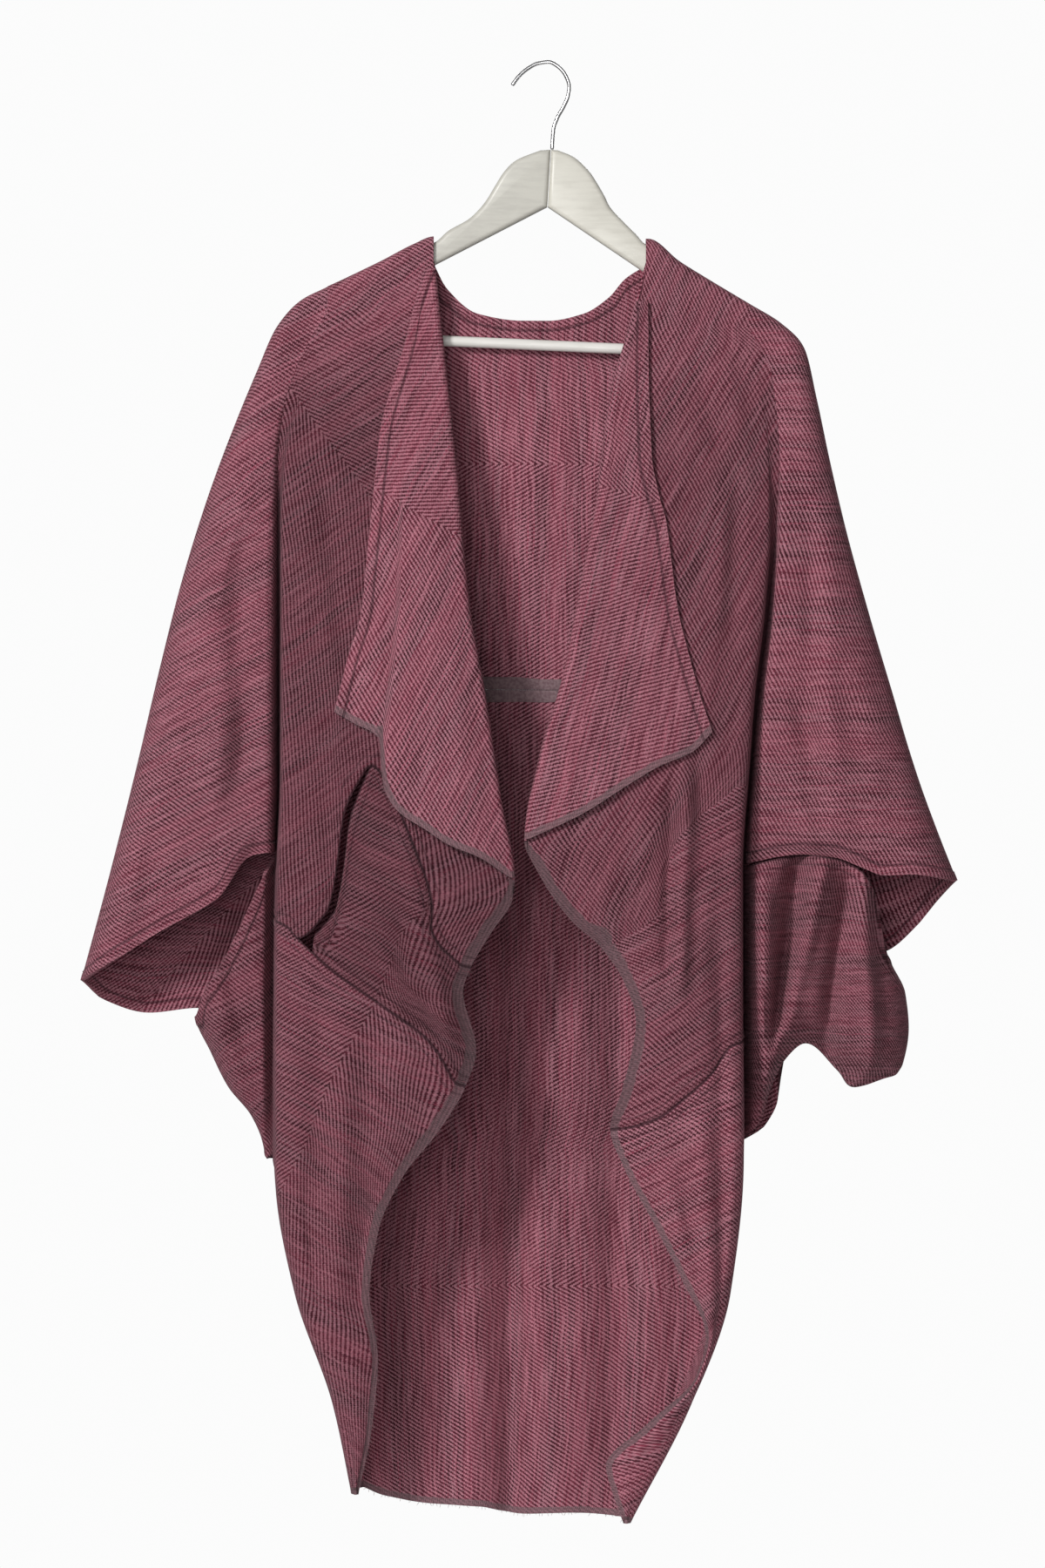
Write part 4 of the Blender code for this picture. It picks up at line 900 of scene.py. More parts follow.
def draw_in(grid, normals, sides, gap):
    """Moves the named edges of a grid inwards by half a seam gap, along the cloth and square to the edge."""
    result = grid.copy()
    for side in sides:
        turned = TURN_ROUND[side][0]
        source, target, normal = turned(grid), turned(result), turned(normals)[0]
        inward = source[1] - source[0]
        inward = unit(inward - normal * (inward * normal).sum(axis=1, keepdims=True))
        along = unit(np.gradient(source[0], axis=0))
        square = np.linalg.norm(np.cross(inward, along), axis=-1, keepdims=True)
        target[0] += inward * 0.5 * gap / np.maximum(square, LEAST_SQUARE)
    return result


def run_along(points):
    """Length along a line of points, from its start."""
    return np.concatenate([[0.0], np.cumsum(np.linalg.norm(np.diff(points, axis=0), axis=-1))])


def square_distance(lines):
    """Distance of each point from the first line, square to it."""
    lengths = np.linalg.norm(np.diff(lines, axis=0), axis=-1)
    distance = np.concatenate([np.zeros((1, lines.shape[1])), np.cumsum(lengths, axis=0)])
    edge = unit(np.gradient(lines[0], axis=0))
    square = np.linalg.norm(np.cross(edge, unit(lines[1] - lines[0])), axis=-1)
    return distance * np.maximum(square, LEAST_SQUARE)


def edge_field(grid, sides):
    """Length along the nearest of the named edges, and distance from it, at every point of a grid."""
    best = np.full(grid.shape[:2], FAR)
    along = np.zeros(grid.shape[:2])
    for side in sides:
        turned, back = TURN_ROUND[side]
        lines = turned(grid)
        distance = square_distance(lines)
        run = np.broadcast_to(run_along(lines[0]), distance.shape)
        distance, run = back(distance), back(run)
        nearer = distance < best
        best, along = np.where(nearer, distance, best), np.where(nearer, run, along)
    return along, best


def run_across(grid):
    """Length along each row, evened out from row to row so that a fold that fades doesn't shear the weave."""
    moves = np.hypot(np.diff(grid[..., 0], axis=1), np.diff(grid[..., 1], axis=1))
    reach = min(EVENED_ROWS, len(moves) // 2)
    padded = np.concatenate([moves[:1].repeat(reach, 0), moves, moves[-1:].repeat(reach, 0)])
    total = np.concatenate([np.zeros((1, moves.shape[1])), np.cumsum(padded, axis=0)])
    moves = (total[2 * reach + 1 :] - total[: -2 * reach - 1]) / (2 * reach + 1)
    return np.concatenate([np.zeros((len(grid), 1)), np.cumsum(moves, axis=1)], axis=1)


def unrolled(grid, anchor, first=0):
    """Flat position of every point. Rows run out from the anchor column, rows above the first go up."""
    run = run_across(grid)
    direction = np.sign(grid[:, -1, 0].mean() - grid[:, 0, 0].mean())
    across = grid[:, anchor : anchor + 1, 0] + direction * (run - run[:, anchor : anchor + 1])
    up = grid[..., 2].copy()
    for row in range(first - 1, -1, -1):
        up[row] = up[row + 1] + np.linalg.norm(grid[row + 1, :, 1:] - grid[row, :, 1:], axis=-1)
    return across, up


def weave_place(name, across, up):
    """Position along the weft and along the warp."""
    angle, reversal = math.radians(CUTS[name][3]), CUTS[name][4]
    weft = across * math.cos(angle) + up * math.sin(angle) - reversal
    warp = up * math.cos(angle) - across * math.sin(angle)
    return weft, warp


def write_map(mesh, name, across, up):
    """Stores a pair of values, the same on both faces of the cloth, as a map in metres."""
    pair = np.stack([across.ravel(), up.ravel()], 1) * MM
    pair = np.concatenate([pair, pair])
    owners = np.empty(len(mesh.loops), int)
    mesh.loops.foreach_get("vertex_index", owners)
    layer = mesh.uv_layers.new(name=name)
    layer.data.foreach_set("uv", pair[owners].astype(np.float32).ravel())


def thickness_at(hem_distance, seam_distance):
    """Half the cloth's thickness: doubled edges stand out, and seams are pressed in."""
    hem = np.clip((HEM_WIDTH + 1 - hem_distance) / 2, 0, 1)
    dip = np.exp(-((seam_distance / SEAM_DIP_WIDTH) ** 2))
    band = np.clip((SEAM_BAND - seam_distance) / 2, 0, 1)
    return WALL / 2 + HEM_THICKNESS * hem + SEAM_LIFT * band - (SEAM_DIP + SEAM_LIFT) * dip


def shell(grid, normals, half):
    """Points and faces of a closed sheet, from the grid of its middle and half its thickness."""
    rows, columns = grid.shape[:2]
    count = rows * columns
    index = np.arange(count).reshape(rows, columns)
    a, b, c, d = index[:-1, :-1], index[:-1, 1:], index[1:, 1:], index[1:, :-1]
    faces = [np.stack([a, d, c, b], -1).reshape(-1, 4), np.stack([a, b, c, d], -1).reshape(-1, 4) + count]
    rim = np.concatenate([index[0, :-1], index[:-1, -1], index[-1, :0:-1], index[:0:-1, 0]])
    after = np.roll(rim, -1)
    faces.append(np.stack([rim, after, after + count, rim + count], -1))
    points = np.concatenate([(grid + normals * half).reshape(-1, 3), (grid - normals * half).reshape(-1, 3)])
    return points, np.concatenate(faces)


def closed_mesh(name, points, faces, finish, sharpest):
    """A smooth mesh from points in millimetres. Edges sharper than an angle in degrees stay sharp."""
    mesh = bpy.data.meshes.new(name)
    faces = [[int(index) for index in face] for face in faces]
    mesh.from_pydata((np.asarray(points) * MM).tolist(), [], faces)
    build = bmesh.new()
    build.from_mesh(mesh)
    bmesh.ops.recalc_face_normals(build, faces=build.faces)
    build.to_mesh(mesh)
    build.free()
    mesh.materials.append(finish)
    mesh.shade_smooth()
    mesh.set_sharp_from_angle(angle=math.radians(sharpest))
    return mesh


def make_sheet(name, grid, normals, flat, *, joined=(), facings=(), gap=SEAM_GAP, visible=1,
               selvedge=(), selvedge_where=None, hem=(), hem_where=None, seams=()):
    """One piece of cloth, with a thin wall, its maps, its material and its place in the frame."""
    for rows, column, direction in facings:
        normals[rows, column] = unit(np.array(direction, float))
    grid = draw_in(grid, normals, joined, gap)
    selvedge_along, selvedge_distance = edge_field(grid, selvedge)
    hem_along, hem_distance = edge_field(grid, hem)
    if selvedge_where is not None:
        selvedge_distance = np.where(selvedge_where(grid), selvedge_distance, FAR)
    if hem_where is not None:
        hem_distance = np.where(hem_where(grid), hem_distance, FAR)
    seam_along, seam_distance = edge_field(grid, seams)
    half = thickness_at(hem_distance, seam_distance)[..., None]
    mesh = closed_mesh("cloth_" + name, *shell(grid, normals, half), cloth_material(), CLOTH_SHARPEST)
    write_map(mesh, "weave", *weave_place(name, *flat))
    write_map(mesh, "selvedge", selvedge_along, selvedge_distance)
    write_map(mesh, "hem", hem_along, hem_distance)
    write_map(mesh, "seam", seam_along, seam_distance)
    obj = bpy.data.objects.new("cloth_" + name, mesh)
    # The object's colour holds the piece's painted shade, which the cloth material multiplies into its
    # colour.
    obj.color = (CUTS[name][5],) * 3 + (1.0,)
    bpy.context.scene.collection.objects.link(obj)
    face = grid + normals * half * visible
    sheets[name] = SimpleNamespace(face=face, normals=normals * visible, middle=grid)
    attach(obj, BODY)
    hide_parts(name)


def front_stations():
    """The columns of a front: round the side fold, across it and round the roll."""
    turn = np.linspace(-1, 0, FOLD_COLUMNS)[:-1]
    flat = np.linspace(0, 1, FLAT_COLUMNS)
    roll = np.linspace(1, 2, ROLL_COLUMNS)[1:]
    return np.concatenate([turn, flat, roll])


def make_front(front):
    """The upper, middle and lower piece of one front."""
    valley = (0, -front.inward, 0)
    point = partial(front_point, front)
    stations = front_stations()
    starts, ends = shoulder_start(front, stations), front.upper_end(stations)
    below, normals = sheet_grid(point, stations, starts, ends, steps(UPPER_LENGTH, (), SEAM_ROWS))
    turned = shoulder_rows(below[0, :, 0], starts)
    upper = np.concatenate([turned, below])
    normals = np.concatenate([surface_normals(upper)[: len(turned)], normals])
    facings = [(slice(len(turned), None), 0, valley)]
    for row in range(len(turned), len(upper)):
        rolled = min(1.0, float(front.roll(upper[row, -1, 2])) / 3)
        facings.append((row, -1, (-rolled, front.inward * (rolled - 1.02), 0)))
    make_sheet(
        f"front_{front.word}_upper", upper, normals, unrolled(upper, FRONT_ANCHOR, len(turned)),
        joined=("top", "bottom", "left", "right"), facings=facings, visible=front.visible,
        selvedge=("right",), selvedge_where=lambda grid: grid[..., 2] < front.roll_end,
        seams=("bottom",) if front.word == "left" else (),
    )

    t = stations[stations >= front.middle_start]
    top = pocket_mouth if front.word == "left" else front.upper_end
    rows = steps(MIDDLE_LENGTH, SEAM_ROWS, SEAM_ROWS)
    middle, normals = sheet_grid(point, t, top(t), front.lower_start(t), rows)
    joined_side = front.middle_start < 0
    make_sheet(
        f"front_{front.word}_middle", middle, normals, unrolled(middle, MIDDLE_ANCHOR),
        visible=front.visible,
        joined=("top", "bottom", "left") if joined_side else ("top", "bottom"),
        facings=[(slice(None), 0, valley)] if joined_side else [],
        selvedge=("right",), seams=("top", "bottom") if front.word == "left" else ("bottom",),
    )

    starts, ends = front.lower_start(stations), np.full(len(stations), float(front.hem))
    lower, normals = sheet_grid(point, stations, starts, ends, steps(LOWER_LENGTH, SEAM_ROWS))
    facings = []
    for row in range(len(lower)):
        wrapped = lower[row, 0, 2] < front.wrap_from
        facings.append((row, 0, (-WRAP_FACING[0], WRAP_FACING[1] * front.inward, 0) if wrapped else valley))
    make_sheet(
        f"front_{front.word}_lower", lower, normals, unrolled(lower, FRONT_ANCHOR),
        joined=("top", "left"), facings=facings, visible=front.visible, selvedge=("right", "bottom"),
        seams=("top",),
    )


def make_lapel(front):
    """The part of a front that turns back over it from the roll."""
    roll = np.linspace(-1, 0, ROLL_COLUMNS)[:-1]
    w = np.concatenate([roll, steps(LAPEL_WIDTH, (), HEM_ROWS, LAPEL_GRID_STEP)])
    starts, ends = np.full(len(w), front.lapel_start), front.lapel_end(np.clip(w, 0, 1))
    rows = steps(LAPEL_LENGTH, (), SEAM_ROWS)
    lapel, normals = sheet_grid(partial(lapel_point, front), w, starts, ends, rows)
    make_sheet(
        f"lapel_{front.word}", lapel, normals, unrolled(lapel, LAPEL_ANCHOR), joined=("left",),
        facings=[(slice(None), 0, (-1, 0, 0))], gap=ROLL_GAP, visible=-front.visible,
        selvedge=("bottom",), hem=("right",),
    )


def make_back():
    """The upper and lower piece of the back."""
    s = np.linspace(0, 1, BACK_COLUMNS)
    starts = back_line(s, back_top)
    seam = back_seam(s)
    facing = [(slice(None), 0, (0, -1, 0)), (slice(None), -1, (0, -1, 0))]
    rows = steps(BACK_UPPER_LENGTH, HEM_ROWS, SEAM_ROWS)
    upper, normals = sheet_grid(back_point, s, starts, seam, rows)
    make_sheet(
        "back_upper", upper, normals, unrolled(upper, BACK_ANCHOR), facings=facing, visible=1,
        joined=("top", "bottom", "left", "right"), hem=("top",), seams=("bottom",),
        hem_where=lambda grid: at_neck(grid[..., 0]) & (grid[..., 2] < NECK_HEM_FROM),
    )
    hem = back_line(s, HEM)
    lower, normals = sheet_grid(back_point, s, seam, hem, steps(BACK_LOWER_LENGTH, SEAM_ROWS))
    for row in range(len(lower)):
        if lower[row, 0, 2] < LEFT_FRONT.wrap_from:
            facing.append((row, 0, (WRAP_FACING[0], -WRAP_FACING[1], 0)))
        if lower[row, -1, 2] < RIGHT_FRONT.wrap_from:
            facing.append((row, -1, (-WRAP_FACING[0], -WRAP_FACING[1], 0)))
    make_sheet(
        "back_lower", lower, normals, unrolled(lower, BACK_ANCHOR), facings=facing, visible=1,
        joined=("top", "left", "right"), selvedge=("bottom",), seams=("top",),
    )


def make_sleeve(sleeve):
    """One sleeve, from the front's valley round its outer edge to the back."""
    shares = SimpleNamespace(
        valley=np.linspace(0, 1, SLEEVE_VALLEY_COLUMNS)[:-1],
        flat=np.linspace(0, 1, SLEEVE_FLAT_COLUMNS)[:-1],
        turn=np.linspace(0, math.pi / 2, SLEEVE_TURN_COLUMNS),
    )
    last = sleeve.last_row
    arm_rows = np.linspace(0, last - 1, ARM_ROWS)[:-1]
    rows = np.concatenate([arm_rows, last - 1 + steps(CUFF_LENGTH, (), HEM_ROWS)])
    grid = np.array([sleeve_section(sleeve, row, shares) for row in rows])
    moves = np.linalg.norm(np.diff(grid, axis=1), axis=-1)
    run = np.concatenate([np.zeros((len(grid), 1)), np.cumsum(moves, axis=1)], axis=1)
    middle = grid.shape[1] // 2
    heading = unit(grid[:, middle, [0, 2]] - grid[:, 0, [0, 2]])
    across = grid[:, :1, 0] + heading[:, :1] * run
    up = grid[:, :1, 2] + heading[:, 1:] * run
    facings = [(slice(None), 0, (0, -sleeve.inward, 0)), (slice(None), -1, (0, sleeve.inward, 0))]
    make_sheet(
        f"sleeve_{sleeve.word}", grid, surface_normals(grid), (across, up), facings=facings,
        joined=("top", "left", "right", "bottom"), visible=sleeve.visible, hem=("bottom",),
    )


def make_side(piece):
    """The piece that hangs as a soft bag below one sleeve."""
    point = partial(side_point, piece)
    u = np.concatenate([np.linspace(0, 1, SIDE_FRONT_COLUMNS)[:-1], np.linspace(1, 2, SIDE_BACK_COLUMNS)])
    starts, ends = piece.start(u), piece.end(u)
    rows = steps(SIDE_LENGTH, SEAM_ROWS, SEAM_ROWS)
    grid = np.array([place(point, u, starts + (ends - starts) * share) for share in rows])
    facings = [(slice(None), 0, (0, -piece.inward, 0)), (slice(None), -1, (0, piece.inward, 0))]
    flat = (grid[:, :1, 0] + piece.inward * run_across(grid), grid[..., 2])
    cuff = piece.word == "left"
    make_sheet(
        f"side_{piece.word}", grid, surface_normals(grid), flat, facings=facings, visible=piece.inward,
        joined=("top", "left", "right", "bottom"), hem=("top",) if cuff else (),
        seams=("bottom",) if cuff else ("top", "bottom"),
    )


def object_of(name, points, faces, finish, slot):
    """A piece from points in millimetres, riding on the coat."""
    obj = bpy.data.objects.new(name, closed_mesh(name, points, faces, finish, SMALL_SHARPEST))
    bpy.context.scene.collection.objects.link(obj)
    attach(obj, BODY)
    return obj


def make_allowances():
    """The two pressed-open selvedges of the back's seam, on the inside of the coat."""
    s = np.linspace(0.02, 0.98, ALLOWANCE_POINTS)
    seam = back_seam(s)
    draw = np.random.default_rng(ALLOWANCE_SEED)
    bends = np.linspace(0, ALLOWANCE_POINTS, 24)
    for word, direction in (("upper", 1), ("lower", -1)):
        wander = np.interp(np.arange(ALLOWANCE_POINTS), bends, draw.normal(0, 0.7, len(bends)))
        rows = []
        for share in (0.03, 0.2, 0.4, 0.6, 0.8, 1.0):
            z = seam + direction * (ALLOWANCE_WIDTH + wander) * share
            point = place(back_point, s, z)
            point[:, 1] -= WALL / 2 + ALLOWANCE_LIFT * (0.55 + 0.45 * math.sin(math.pi * min(share * 1.1, 1)))
            rows.append(point)
        grid = np.array(rows)
        facing = np.zeros_like(grid)
        facing[..., 1] = -1
        points, faces = shell(grid, facing, ALLOWANCE_HALF)
        obj = object_of(f"seam_allowance_{word}", points, faces, selvedge_material(), "cloth")


def line_inside(face, normals, side, inset):
    """The line on a sheet's face at a distance from one of its sides, with its normals."""
    turned = TURN_ROUND[side][0]
    lines, facing = turned(face), turned(normals)
    distance = square_distance(lines)

    def at_inset(values):
        return np.array([
            [np.interp(inset, distance[:, column], values[:, column, axis]) for axis in range(3)]
            for column in range(lines.shape[1])
        ])

    return at_inset(lines), unit(at_inset(facing))


def even_points(points, normals, spacing):
    """Points, directions and normals at an even spacing along a line."""
    run = run_along(points)
    places = np.arange(spacing, run[-1] - spacing, spacing)
    at = np.stack([np.interp(places, run, points[:, axis]) for axis in range(3)], 1)
    facing = unit(np.stack([np.interp(places, run, normals[:, axis]) for axis in range(3)], 1))
    heading = unit(np.gradient(at, axis=0))
    return at, heading, facing


def tube_faces(rings, sides):
    """Faces that join rings of points into a tube and close its two ends."""
    faces = []
    for ring in range(rings - 1):
        for turn in range(sides):
            a, b = ring * sides + turn, ring * sides + (turn + 1) % sides
            faces.append((a, b, b + sides, a + sides))
    last = (rings - 1) * sides
    return [*faces, tuple(range(sides))[::-1], tuple(last + turn for turn in range(sides))]


def thread_tube(centres, side, up, radius, sides=5):
    """Points and faces of a short thread through its centres, pinched at both ends."""
    ring = []
    for step, centre in enumerate(centres):
        width = radius * (0.35 if step in (0, len(centres) - 1) else 1.0)
        for turn in range(sides):
            angle = 2 * math.pi * turn / sides
            ring.append(centre + side * math.cos(angle) * width + up * math.sin(angle) * width)
    return ring, tube_faces(len(centres), sides)


def gather(threads):
    """Many threads as one set of points and faces."""
    all_points, all_faces = [], []
    for points, faces in threads:
        all_faces += [tuple(index + len(all_points) for index in face) for face in faces]
        all_points += points
    return all_points, all_faces


def stitch_line(points, normals, spacing, length, slant, draw):
    """A row of stitches, each a short raised thread, as one set of points and faces."""
    threads = []
    for at, heading, facing in zip(*even_points(points, normals, spacing)):
        side = np.cross(facing, heading)
        turn = slant + draw.normal(0, 0.06)
        along = heading * math.cos(turn) + side * math.sin(turn)
        reach = length * draw.uniform(0.88, 1.08) / 2
        centres = [
            at + along * reach * share + facing * (0.12 + 0.22 * (1 - share * share))
            for share in (-1, -0.5, 0, 0.5, 1)
        ]
        threads.append(thread_tube(centres, unit(np.cross(along, facing)), facing, STITCH_RADIUS))
    return gather(threads)


def make_stitching():
    """Sewing on the cuffs, the neck, the lapels' edges and the pressed seams."""
    if "sleeve_left" not in sheets or "back_upper" not in sheets:
        raise RuntimeError("the cloth has to be made before its stitching")
    draw = np.random.default_rng(STITCH_SEED)
    plain = (STITCH_SPACING, STITCH_LENGTH, 0.0)
    overcast = (OVERCAST_SPACING, OVERCAST_LENGTH)
    rows = [
        ("cuff_left", "sleeve_left", "bottom", CUFF_INSET, plain),
        ("cuff_right", "sleeve_right", "bottom", CUFF_INSET, plain),
        ("neck", "back_upper", "top", NECK_INSET, plain),
        ("lapel_edge_left", "lapel_left", "right", OVERCAST_INSET, (*overcast, OVERCAST_SLANT)),
        ("lapel_edge_right", "lapel_right", "right", OVERCAST_INSET, (*overcast, -OVERCAST_SLANT)),
        ("seam_left_above", "front_left_middle", "bottom", SEAM_INSET, plain),
        ("seam_left_below", "front_left_lower", "top", SEAM_INSET, plain),
        ("seam_right_above", "front_right_middle", "bottom", SEAM_INSET, plain),
        ("seam_right_below", "front_right_lower", "top", SEAM_INSET, plain),
        ("cuff_left_front", "side_left", "top", CUFF_INSET, plain),
        ("pocket", "front_left_middle", "top", POCKET_INSET, plain),
    ]
    for name, sheet, side, inset, stitch in rows:
        source = sheets[sheet]
        points, normals = line_inside(source.face, source.normals, side, inset)
        if name == "neck":
            kept = at_neck(points[:, 0], NECK_ENDS)
            points, normals = points[kept], normals[kept]
        made_points, faces = stitch_line(points, normals, *stitch, draw)
        object_of("stitches_" + name, made_points, faces, thread_material(), "cloth")


def make_fraying():
    """Short loose yarn ends along the selvedges."""
    draw = np.random.default_rng(FRAY_SEED)
    rows = [
        ("hem", "back_lower", "bottom"),
        ("front_left", "front_left_lower", "right"),
        ("front_right", "front_right_lower", "right"),
        ("lapel_left", "lapel_left", "bottom"),
        ("lapel_right", "lapel_right", "bottom"),
        ("middle_left", "front_left_middle", "right"),
        ("middle_right", "front_right_middle", "right"),
    ]
    for name, sheet, side in rows:
        source = sheets[sheet]
        turned = TURN_ROUND[side][0]
        lines, facing = turned(source.middle), turned(source.normals)
        at, heading, normal = even_points(lines[0], facing[0], THREAD_SPACING)
        inner = even_points(lines[1], facing[1], THREAD_SPACING)[0]
        threads = []
        for place_at, along, out in zip(at, heading, normal):
            inward = inner[np.argmin(np.linalg.norm(inner - place_at, axis=-1))] - place_at
            away = unit(-inward)
            if draw.random() < FRAY_GAPS:
                continue
            start = place_at + along * draw.normal(0, 0.6) - away * 0.8 + out * draw.uniform(-0.6, 0.6)
            length = draw.uniform(*THREAD_LENGTHS)
            lean = away + along * draw.normal(0, 0.5) + out * draw.normal(0, 0.25)
            curl = draw.normal(0, 0.5)
            centres = [
                start + unit(lean) * length * share + along * curl * share * share
                for share in (0, 0.35, 0.7, 1)
            ]
            threads.append(thread_tube(centres, unit(np.cross(unit(lean), out)), out, THREAD_RADIUS, 4))
        object_of("loose_ends_" + name, *gather(threads), selvedge_material(), "cloth")


def add_node(tree, kind, *inputs, **choices):
    """A node with its choices made and its inputs joined or set in order. None leaves an input alone."""
    made = tree.nodes.new(kind)
    for name, value in choices.items():
        setattr(made, name, value)
    for socket, value in zip(made.inputs, inputs):
        if isinstance(value, bpy.types.NodeSocket):
            tree.links.new(value, socket)
        elif value is not None:
            socket.default_value = value
    return made


def calc(tree, operation, *inputs):
    """One step of arithmetic on values."""
    return add_node(tree, "ShaderNodeMath", *inputs, operation=operation).outputs[0]


def times(tree, first, second):
    """One value times another."""
    return calc(tree, "MULTIPLY", first, second)


def plus(tree, first, second):
    """One value and another."""
    return calc(tree, "ADD", first, second)


def minus(tree, first, second):
    """One value less another."""
    return calc(tree, "SUBTRACT", first, second)


def mix(tree, share, first, second, blend="MIX"):
    """Two colours blended."""
    made = add_node(tree, "ShaderNodeMix", data_type="RGBA", blend_type=blend)
    for socket, value in ((made.inputs[0], share), (made.inputs[6], first), (made.inputs[7], second)):
        if isinstance(value, bpy.types.NodeSocket):
            tree.links.new(value, socket)
        else:
            socket.default_value = value
    return made.outputs[2]


def ramp(tree, value, low, high, at_low=0.0, at_high=1.0):
    """A soft step from one value to another."""
    made = add_node(tree, "ShaderNodeMapRange", value, low, high, at_low, at_high)
    made.interpolation_type = "SMOOTHSTEP"
    return made.outputs[0]


def shaded(tree, colour, shade):
    """A colour made darker or lighter by a value."""
    shades = add_node(tree, "ShaderNodeCombineColor", shade, shade, shade).outputs[0]
    return mix(tree, 1.0, colour, shades, "MULTIPLY")


def noise(tree, vector, scale, detail=2.0):
    """Cloudy values from 0 to 1."""
    return add_node(tree, "ShaderNodeTexNoise", vector, None, scale, detail).outputs[0]


def random_value(tree, number):
    """A value from 0 to 1 that is different for each number."""
    return add_node(tree, "ShaderNodeTexWhiteNoise", None, number, noise_dimensions="1D").outputs[0]


def join(tree, x, y, z=0.0):
    """A place from its values."""
    return add_node(tree, "ShaderNodeCombineXYZ", x, y, z).outputs[0]


def in_millimetres(tree, place_at):
    """A place in metres as one in millimetres, whole and as its three values."""
    scaled = add_node(tree, "ShaderNodeVectorMath", place_at, operation="SCALE")
    scaled.inputs["Scale"].default_value = 1000.0
    return scaled.outputs[0], add_node(tree, "ShaderNodeSeparateXYZ", scaled.outputs[0]).outputs


def add_bump(tree, shader, height, strength, distance):
    """Fine relief on a surface, with its depth in metres."""
    bump = add_node(tree, "ShaderNodeBump")
    bump.inputs["Strength"].default_value = strength
    bump.inputs["Distance"].default_value = distance
    tree.links.new(height, bump.inputs["Height"])
    tree.links.new(bump.outputs[0], shader.inputs["Normal"])


def new_group(name, inputs, outputs):
    """An empty node group with named inputs and outputs: each a (name, socket type, default)."""
    tree = bpy.data.node_groups.new(name, "ShaderNodeTree")
    for label, kind, value in inputs:
        socket = tree.interface.new_socket(label, in_out="INPUT", socket_type=kind)
        if value is not None:
            socket.default_value = value
    for label, kind in outputs:
        tree.interface.new_socket(label, in_out="OUTPUT", socket_type=kind)
    return tree, tree.nodes.new("NodeGroupInput").outputs, tree.nodes.new("NodeGroupOutput").inputs


